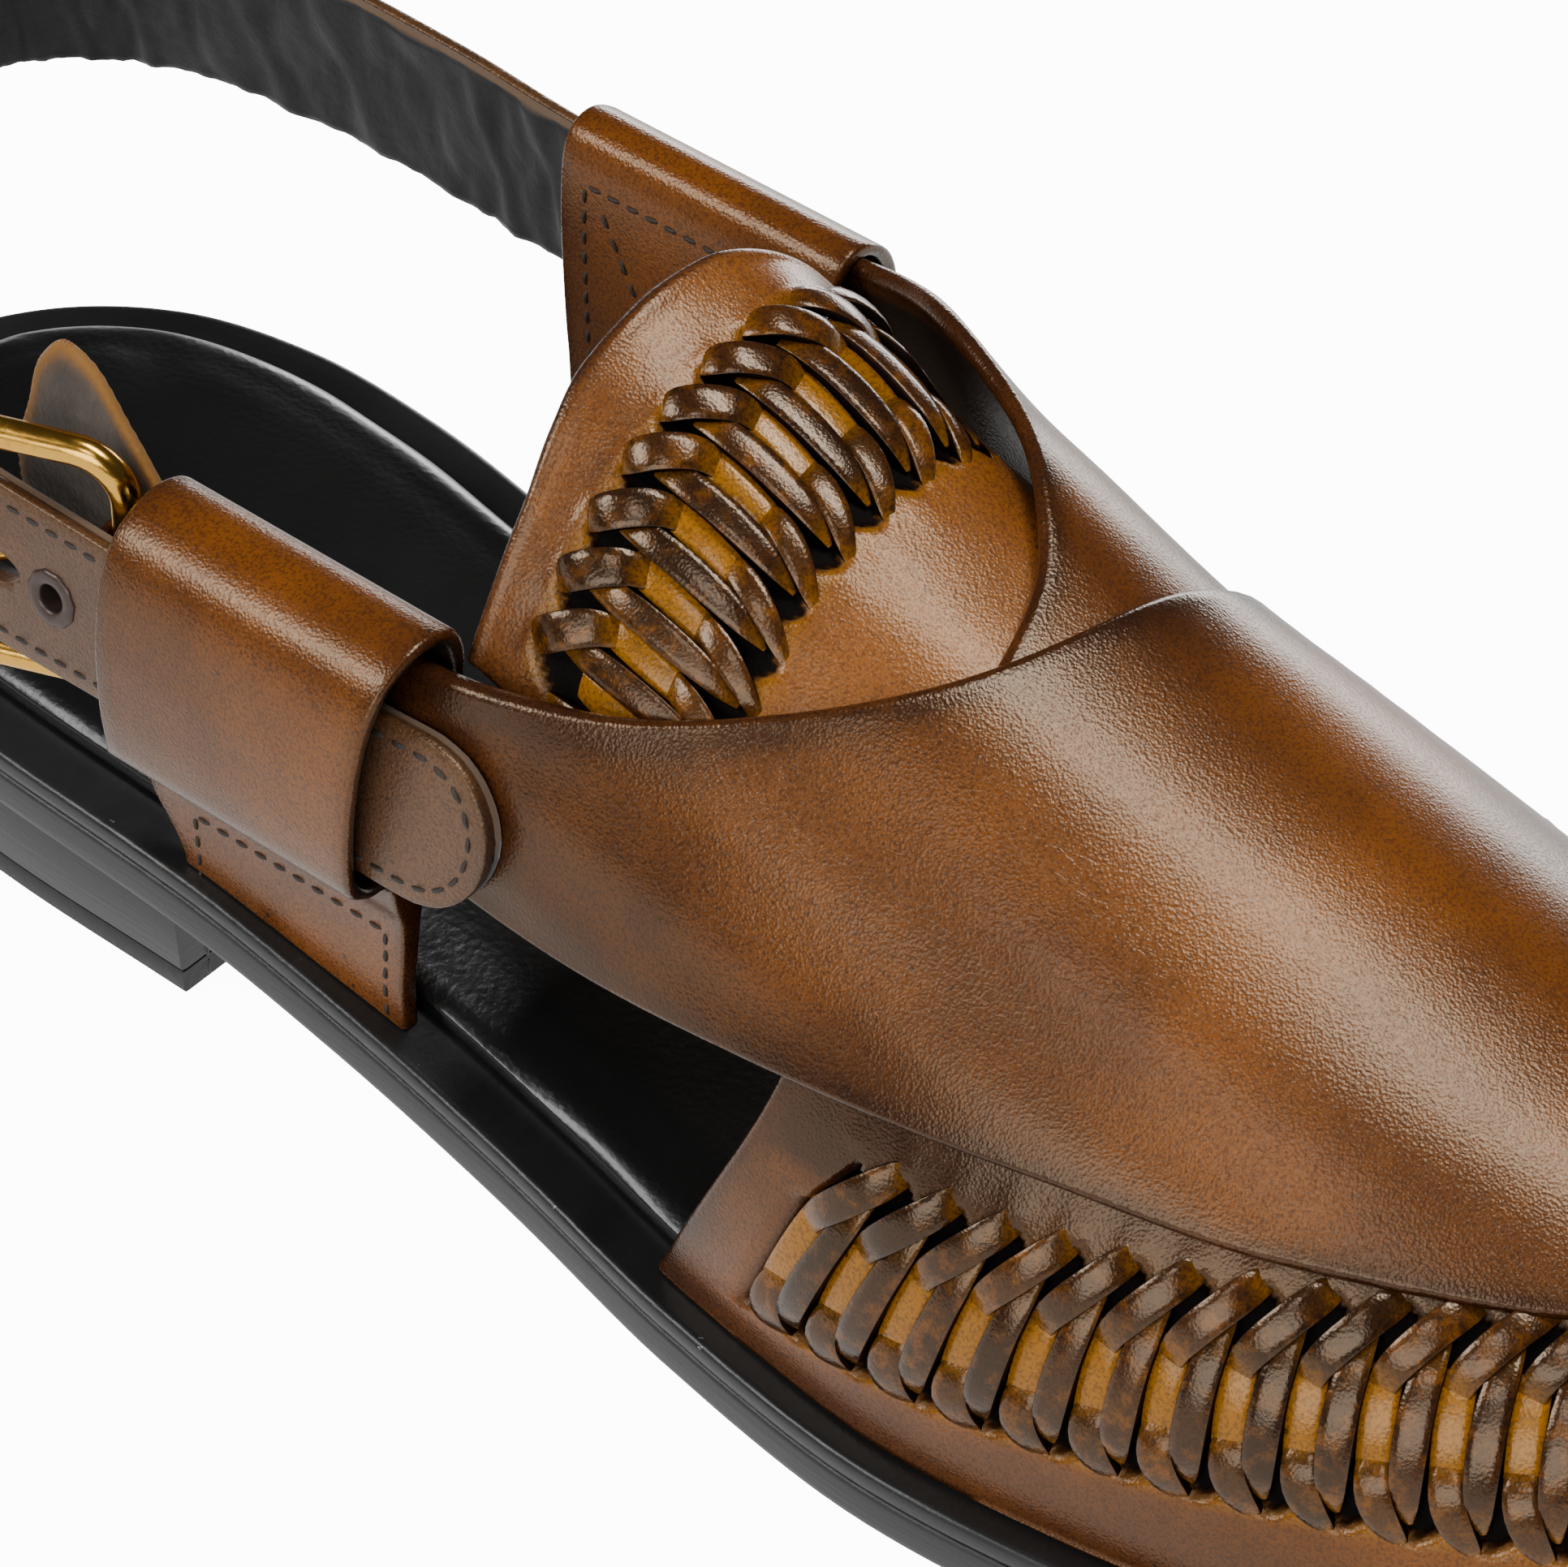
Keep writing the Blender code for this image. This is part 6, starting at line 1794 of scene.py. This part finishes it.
    def sew(self, finishes: Finishes) -> None:
        """One row of stitches that follows both edges and the rounded tip."""
        half = self.thickness / 2
        back = len(self.path) - 1.5
        rows = np.linspace(back, 1.3, 400)
        share = 1 - 2.1 * MM / (self.width / 2)
        turn = np.linspace(0, math.pi, 40)
        tip_rows = 1.3 - 1.02 * np.sin(turn)
        tip_share = share * np.cos(turn)
        width = np.full(len(rows), share)
        at = np.concatenate([rows, tip_rows[1:-1], rows[::-1]])
        end = np.concatenate([width, tip_share[1:-1], -width[::-1]])
        centre, out, up = self.frames(at)
        bow = 0.35 * MM * (1 - np.abs(end) ** 2.5)
        path = centre + out * (half + bow)[:, None] + up * (end * self.width / 2)[:, None]
        skin = Skin()
        StitchRun().add(skin, resampled(path, 900), resampled(out, 900))
        skin.finish("heel_strap_stitches", finishes.thread, "cognac_leather")


@dataclass(frozen=True)
class Eyelets:
    """Turned metal rings in the back strap, their rims a little crimped."""

    strap: BackStrap
    inner: float = 1.55 * MM
    outer: float = 3.3 * MM
    flange: float = 0.62 * MM
    lip: float = 0.4 * MM
    sides: int = 48

    def build(self, finishes: Finishes) -> None:
        """Turn the profile round the strap's normal at each station."""
        face = self.strap.thickness / 2 + 0.15 * MM
        across = self.outer - self.inner
        turn = np.linspace(0, math.pi, 12)
        rolled = self.inner + across * (0.5 - 0.5 * np.cos(turn))
        neck = self.inner + self.lip
        radius = np.concatenate([rolled, [self.outer - self.lip, neck, neck, self.inner]])
        under = face - 0.1 * MM
        height = np.concatenate([face + self.flange * np.sin(turn) ** 0.7, [under, under, -face, -face]])
        angle = np.linspace(0, 2 * math.pi, self.sides, endpoint=False)
        first = self.strap.first_eyelet
        for number, station in enumerate((first, first - 2 * self.strap.eyelet_pitch)):
            crimp = 1 + 0.022 * np.sin(11 * angle + number)[None] * (radius > self.outer - 0.7 * MM)[:, None]
            ring = radius[:, None] * crimp
            level = np.broadcast_to(height[:, None], ring.shape)
            flat = np.stack([ring * np.cos(angle), ring * np.sin(angle), level], -1)
            matrix = np.array(self.strap.matrix(station))
            points = flat @ matrix[:3, :3].T + matrix[:3, 3] + (0, HEEL_MIDDLE, 0)
            skin = Skin()
            skin.ring(points)
            name = f"eyelet_{number + 1}"
            skin.finish("strap_" + name, finishes.eyelet, "dark_eyelet", [name], 50)


@dataclass(frozen=True)
class BuckleSet:
    """Wire frame, prong, chape and the leather guard behind them."""

    sole: SoleShape
    front: tuple[float, float] = (34.0 * MM, 79.0 * MM)
    back_across: float = 44.4 * MM
    middle: float = 57.2 * MM
    length: float = 29 * MM
    height: float = 29.4 * MM
    wire: float = 1.7 * MM
    corner: float = 5.5 * MM
    prong: float = 1.0 * MM
    drop: float = 1.7 * MM
    # along, height, as shares of the sole length and the instep
    guard: tuple = (
        (0.316, 0.555), (0.316, 0.690), (0.281, 0.712), (0.258, 0.782), (0.233, 0.846), (0.224, 0.850),
        (0.215, 0.820), (0.210, 0.756), (0.204, 0.676), (0.208, 0.598), (0.228, 0.548), (0.264, 0.526),
    )

    def spot(self, along: Array, up: Array, out: Array) -> Array:
        """Places in the buckle's own plane: along from the front bar, up from its middle, outwards."""
        front = np.array(self.front)
        run = math.sqrt(self.length**2 - (self.back_across - front[0]) ** 2)
        ahead = np.array([self.back_across - front[0], -run]) / self.length
        square = np.array([-ahead[1], ahead[0]])
        along, up, out = np.broadcast_arrays(along, up, out)
        flat = front + ahead * along[..., None] + square * out[..., None]
        return np.concatenate([flat, (self.middle + up)[..., None]], -1)

    def build_frame(self, finishes: Finishes) -> None:
        """Sweep the wire round a rectangle with round corners."""
        half, radius = self.height / 2, self.corner
        corners = (
            (self.length - radius, half - radius, 0), (radius, half - radius, 90),
            (radius, radius - half, 180), (self.length - radius, radius - half, 270),
        )
        route = []
        for along, up, start in corners:
            angle = np.radians(start + np.linspace(0, 90, 13))
            route.append(np.stack([along + radius * np.cos(angle), up + radius * np.sin(angle)], 1))
        loop = np.concatenate(route + [route[0][:1]])
        loop = resampled(loop, 161)[:-1]
        path = self.spot(loop[:, 0], loop[:, 1], np.zeros(len(loop)))
        way = unit(np.roll(path, -1, 0) - np.roll(path, 1, 0))
        normal = self.spot(0.0, 0.0, 1.0) - self.spot(0.0, 0.0, 0.0)
        side = np.cross(way, normal)
        turn = np.linspace(0, 2 * math.pi, 22, endpoint=False)
        round_by = np.cos(turn)[None, :, None] * side[:, None] + np.sin(turn)[None, :, None] * normal
        skin = Skin()
        skin.ring(path[:, None] + self.wire * round_by)
        skin.finish("buckle_wire_frame", finishes.brass, "brass", ["buckle_frame"])

    def build_prong(self, finishes: Finishes) -> None:
        """Sweep the pin over the strap and onto the back bar, thinner towards its end."""
        stand = self.wire + 0.3 * MM + self.prong
        knots = np.array([
            (stand, 0.0), (0.33 * self.length, -0.9 * MM), (0.48 * self.length, -0.6 * MM),
            (0.58 * self.length, 1.0 * MM), (0.70 * self.length, 2.6 * MM), (0.84 * self.length, stand),
            (self.length + self.wire, stand),
        ])
        fine = smooth_rows(knots, np.linspace(0, len(knots) - 1, 70))
        path = self.spot(fine[:, 0], np.full(70, -self.drop), fine[:, 1])
        normal = np.broadcast_to(self.spot(0.0, 0.0, 1.0) - self.spot(0.0, 0.0, 0.0), path.shape)
        t = np.linspace(0, 1, 70)
        radius = self.prong * (1.0 - 0.15 * t) * np.sqrt(np.clip(1 - rise(t, 0.96, 1.0) ** 2 * 0.9, 0.05, 1))
        skin = Skin()
        skin.tube(sweep(path, normal, radius, 16, 0.9))
        skin.finish("buckle_pin", finishes.brass, "brass", ["buckle_prong"])

    def build_chape(self, finishes: Finishes) -> None:
        """Two leather legs that wrap the front bar and meet behind it."""
        x, y = self.front
        thick = 1.2 * MM
        bend = self.wire + 0.3 * MM + thick / 2
        turn = np.radians(np.linspace(240, 360, 15))
        wrap = np.stack([x + bend * np.cos(turn), y + bend * np.sin(turn)], 1)
        run = np.stack([np.full(10, x + bend), np.linspace(y, 89 * MM, 11)[1:]], 1)
        path = np.concatenate([wrap, run])
        along = unit(np.gradient(path, axis=0))
        square = np.stack([along[:, 1], -along[:, 0]], 1)
        low = 55.5 * MM - 7 * MM
        slot = self.middle - self.drop
        skin = Skin()
        round_by = np.linspace(0, 2 * math.pi, 20, endpoint=False)
        cosine, sine = np.cos(round_by), np.sin(round_by)
        side = np.sign(cosine) * np.abs(cosine) ** 0.5 * thick / 2
        flat = path[:, None] + square[:, None] * side[None, :, None]
        for bottom, top in ((low, slot - 1.9 * MM), (slot + 1.9 * MM, low + 14 * MM)):
            level = (top + bottom) / 2 + np.sign(sine) * np.abs(sine) ** 0.35 * (top - bottom) / 2
            level = np.broadcast_to(level[None, :, None], (*flat.shape[:2], 1))
            skin.tube(np.concatenate([flat, level], -1), {"tone": np.full((1, 1), 0.5)})
        skin.finish("buckle_strip", finishes.cognac, "cognac_leather", ["buckle_chape"])

    def build_guard(self, finishes: Finishes) -> None:
        """Leaf of leather: rings shrink from its outline to its middle on both faces."""
        outline = closed_curve(np.array(self.guard) * (self.sole.length, self.sole.instep), 12)
        number = np.arange(len(outline))
        outline = outline + 0.12 * MM * np.stack([np.sin(29 * number / 9), np.cos(23 * number / 7)], 1)
        middle = np.array([0.245 * self.sole.length, 0.665 * self.sole.instep])
        half = 0.6 * MM
        turn = np.linspace(0, math.pi, 9)
        inward = np.linspace(0.02, 1, 14)
        scale = np.concatenate([inward, np.full(7, 1.0), inward[::-1]])
        thick = np.concatenate([np.full(14, half), half * np.cos(turn[1:-1]), np.full(14, -half)])
        size = np.linalg.norm(outline - middle, axis=1).mean()
        soft = 1 - (half / size) * (1 - np.concatenate([np.zeros(14), np.sin(turn[1:-1]), np.zeros(14)]))
        rings = middle + (outline - middle)[None] * (scale * soft)[:, None, None]
        lean = -2.2 * MM * np.clip((rings[..., 1] - 60 * MM) / (20 * MM), 0, 1) ** 2
        x = 31.3 * MM + thick[:, None] + lean
        points = np.stack([x, rings[..., 0], rings[..., 1]], -1)
        golden = np.broadcast_to(rise(scale, 0.90, 1.0)[:, None], points.shape[:2])
        skin = Skin()
        skin.tube(points, {"ochre": golden})
        skin.finish("buckle_leather_guard", finishes.raw, "cognac_leather", ["buckle_guard"], 60)

    def build(self, finishes: Finishes) -> None:
        """Make the four pieces."""
        self.build_frame(finishes)
        self.build_prong(finishes)
        self.build_chape(finishes)
        self.build_guard(finishes)


# ---------------------------------------------------------------- studio


@dataclass(frozen=True)
class Lamp:
    """One soft box: its way from the shoe, distance, width and height, brightness and upright."""

    name: str
    way: Colour
    distance: float
    size: tuple[float, float]
    brightness: float
    upright: Colour = (0.0, 0.0, 1.0)
    colour: Colour = (1.0, 1.0, 1.0)

    def hang(self, target: Colour) -> None:
        """Hang the box: its power is its brightness times its area times pi."""
        light = bpy.data.lights.new(self.name, "AREA")
        light.shape = "RECTANGLE"
        light.size, light.size_y = self.size
        light.energy = self.brightness * math.pi * self.size[0] * self.size[1]
        light.color = self.colour
        back = unit(np.array(self.way))
        up = unit(np.array(self.upright) - back * float(np.dot(self.upright, back)))
        spot = np.array(target) + back * self.distance
        made = bpy.data.objects.new(self.name, light)
        made.matrix_world = placed(np.cross(up, back), up, back, spot)
        bpy.context.scene.collection.objects.link(made)


@dataclass(frozen=True)
class Studio:
    """Camera at the photograph's angle, a pale floor and soft boxes."""

    target: Colour = (1.07 * MM, 107.6 * MM, 40.0 * MM)
    distance: float = 0.7
    turn: float = 40.375
    elevation: float = 42.27
    lens: float = 158.22
    above: float = 0.05
    below: float = 1.25
    lamps: tuple = (
        Lamp("overhead_box", (-0.21, 0.19, 0.96), 1.2, (0.27, 0.70), 17.0, (0.0, 1.0, 0.0)),
        Lamp("side_box", (0.86, 0.28, 0.42), 1.3, (1.0, 0.62), 4.2, (0.0, -0.45, 1.0)),
        Lamp("key_box", (0.60, -0.50, 0.66), 1.2, (0.46, 0.46), 11.0),
        Lamp("crown_box", (0.49, 0.24, 0.84), 1.2, (0.30, 0.24), 6.5),
        Lamp("back_box", (-0.93, -0.36, 0.05), 1.4, (0.9, 0.40), 8.0),
    )

    def axes(self) -> tuple[Array, Array, Array]:
        """The camera's right, up and backward directions."""
        turn, lift = math.radians(self.turn), math.radians(self.elevation)
        flat = np.array([math.cos(turn), math.sin(turn), 0.0])
        right = np.array([-math.sin(turn), math.cos(turn), 0.0])
        back = math.cos(lift) * flat + math.sin(lift) * np.array([0, 0, 1.0])
        up = -math.sin(lift) * flat + math.cos(lift) * np.array([0, 0, 1.0])
        return right, up, back

    def room(self) -> bpy.types.World:
        """Dark room over a white floor: the brightness steps smoothly at the horizon."""
        world = bpy.data.worlds.new("studio_room")
        world.use_nodes = True
        paint = Paint(world.node_tree)
        way = paint.node("ShaderNodeTexCoord", {}, {}, "Generated")
        height = paint.node("ShaderNodeSeparateXYZ", {}, {0: way}, "Z")
        glow = paint.rise(height, -0.04, 0.10) * (self.above - self.below) + self.below
        sockets = {"Color": (1.0, 1.0, 1.0), "Strength": glow}
        back = paint.node("ShaderNodeBackground", {}, sockets, "Background")
        paint.finish(back, "ShaderNodeOutputWorld")
        return world

    def build(self) -> None:
        """Set up the camera, the floor, the lamps and the surroundings."""
        scene = bpy.context.scene
        for found in list(bpy.data.objects):
            if found.type in ("CAMERA", "LIGHT") or found.name == "Cube":
                bpy.data.objects.remove(found, do_unlink=True)
        right, up, back = self.axes()
        eye = np.array(self.target) + self.distance * back
        camera = bpy.data.objects.new("photo_camera", bpy.data.cameras.new("photo_camera"))
        camera.data.lens = self.lens
        camera.data.sensor_width = 36.0
        camera.data.clip_start = 0.05
        camera.data.clip_end = 50
        camera.matrix_world = placed(right, up, back, eye)
        scene.collection.objects.link(camera)
        scene.camera = camera
        for lamp in self.lamps:
            lamp.hang(self.target)
        scene.world = self.room()
        mesh = bpy.data.meshes.new("pale_floor")
        mesh.from_pydata([(-6, -6, 0), (6, -6, 0), (6, 6, 0), (-6, 6, 0)], [], [(0, 1, 2, 3)])
        mesh.materials.append(StudioFloor().make())
        floor = bpy.data.objects.new("pale_floor", mesh)
        floor.visible_diffuse = False
        floor.visible_glossy = False
        scene.collection.objects.link(floor)


OUTER_RIBS = (
    # back station, back girth, middle station, middle girth, front station, front girth
    (0.322, 0.247, 0.322, 0.205, 0.322, 0.164),
    (0.389, 0.260, 0.393, 0.213, 0.396, 0.166),
    (0.433, 0.284, 0.445, 0.232, 0.460, 0.177),
    (0.480, 0.325, 0.507, 0.263, 0.540, 0.206),
    (0.529, 0.393, 0.584, 0.312, 0.641, 0.240),
    (0.560, 0.470, 0.648, 0.368, 0.730, 0.271),
    (0.575, 0.575, 0.701, 0.445, 0.814, 0.337),
    (0.579, 0.700, 0.728, 0.590, 0.863, 0.450),
    (0.570, 0.820, 0.735, 0.767, 0.893, 0.570),
    (0.538, 0.955, 0.742, 0.900, 0.916, 0.800),
    (0.529, 1.000, 0.735, 1.000, 0.930, 1.000),
)
INNER_RIBS = (
    # back station, back girth, middle station, middle girth, front station, front girth
    (0.322, 0.283, 0.322, 0.236, 0.322, 0.190),
    (0.396, 0.318, 0.398, 0.255, 0.399, 0.190),
    (0.443, 0.362, 0.450, 0.275, 0.460, 0.192),
    (0.487, 0.388, 0.510, 0.300, 0.537, 0.212),
    (0.523, 0.427, 0.577, 0.330, 0.631, 0.242),
    (0.549, 0.478, 0.638, 0.376, 0.718, 0.273),
    (0.562, 0.575, 0.691, 0.450, 0.802, 0.337),
    (0.565, 0.700, 0.718, 0.590, 0.859, 0.450),
    (0.558, 0.820, 0.728, 0.767, 0.893, 0.570),
    (0.525, 0.962, 0.738, 0.900, 0.916, 0.800),
    (0.515, 1.000, 0.728, 1.000, 0.928, 1.000),
)
# Keeper sections, as shares of the heel width across and the instep up
NEAR_OUTER = (
    (0.469, 0.000), (0.476, 0.283), (0.498, 0.364), (0.519, 0.409), (0.559, 0.418), (0.600, 0.446),
    (0.614, 0.500), (0.617, 0.565), (0.613, 0.626), (0.596, 0.696), (0.554, 0.748), (0.484, 0.771),
    (0.420, 0.759), (0.389, 0.717),
    (0.385, 0.652), (0.394, 0.565), (0.408, 0.478), (0.428, 0.402), (0.438, 0.304), (0.438, 0.000),
)
NEAR_HOLLOW = (
    (0.512, 0.428), (0.558, 0.435), (0.583, 0.459), (0.593, 0.505), (0.596, 0.565), (0.592, 0.623),
    (0.576, 0.684), (0.541, 0.732), (0.483, 0.752), (0.434, 0.742), (0.413, 0.707), (0.408, 0.650),
    (0.418, 0.565), (0.431, 0.484),
    (0.456, 0.439),
)
FAR_OUTER = (
    (-0.411, 0.000), (-0.434, 0.283), (-0.476, 0.402), (-0.523, 0.489), (-0.565, 0.543), (-0.587, 0.609),
    (-0.590, 0.674), (-0.582, 0.745), (-0.554, 0.804), (-0.501, 0.841), (-0.455, 0.843), (-0.424, 0.817),
    (-0.413, 0.750), (-0.413, 0.652), (-0.417, 0.565), (-0.422, 0.500), (-0.422, 0.424), (-0.406, 0.304),
    (-0.380, 0.000),
)
FAR_HOLLOW = (
    (-0.446, 0.509), (-0.490, 0.511), (-0.541, 0.547), (-0.565, 0.611), (-0.568, 0.674), (-0.561, 0.739),
    (-0.537, 0.792), (-0.494, 0.825), (-0.466, 0.826), (-0.445, 0.807), (-0.435, 0.748), (-0.435, 0.652),
    (-0.438, 0.565),
)
# Stitch lines on the keepers: row of the outer table and share along the keeper
NEAR_LINES = (((0.15, 0.07), (1.12, 0.08), (1.12, 0.92), (0.15, 0.93)),)
FAR_LINES = (
    ((11.6, 0.10), (16.6, 0.10)),
    ((11.6, 0.10), (11.6, 0.88), (16.6, 0.88)),
    ((11.9, 0.16), (14.6, 0.52), (16.6, 0.78)),
)


def main() -> None:
    """Build every piece in order."""
    logging.basicConfig(level=logging.INFO, format="%(name)s %(message)s")
    Studio().build()
    finishes = Finishes.make()
    sole = SoleShape()
    last = LastShape(sole)
    SoleUnit(sole).build(finishes)
    Footbed(sole).build(finishes)
    CrossingStrap("inner_crossing_strap", last, Side.INNER, INNER_RIBS, 0.0, 2.2 * MM).build(finishes)
    CrossingStrap("outer_crossing_strap", last, Side.OUTER, OUTER_RIBS, 1.4 * MM, 4.0 * MM).build(finishes)
    Tongue(last, INNER_RIBS).build(finishes)
    near = Keeper("outer_side_keeper", "keeper_outer_side", sole, 83.0 * MM, NEAR_OUTER, NEAR_HOLLOW)
    near.build(finishes, NEAR_LINES)
    far = Keeper(
        "inner_side_keeper", "keeper_inner_side", sole, 80.4 * MM, FAR_OUTER, FAR_HOLLOW, foot_lean=0.0
    )
    far.build(finishes, FAR_LINES)
    strap = BackStrap(sole)
    strap.build(finishes)
    Eyelets(strap).build(finishes)
    BuckleSet(sole).build(finishes)


if __name__ == "__main__":
    main()
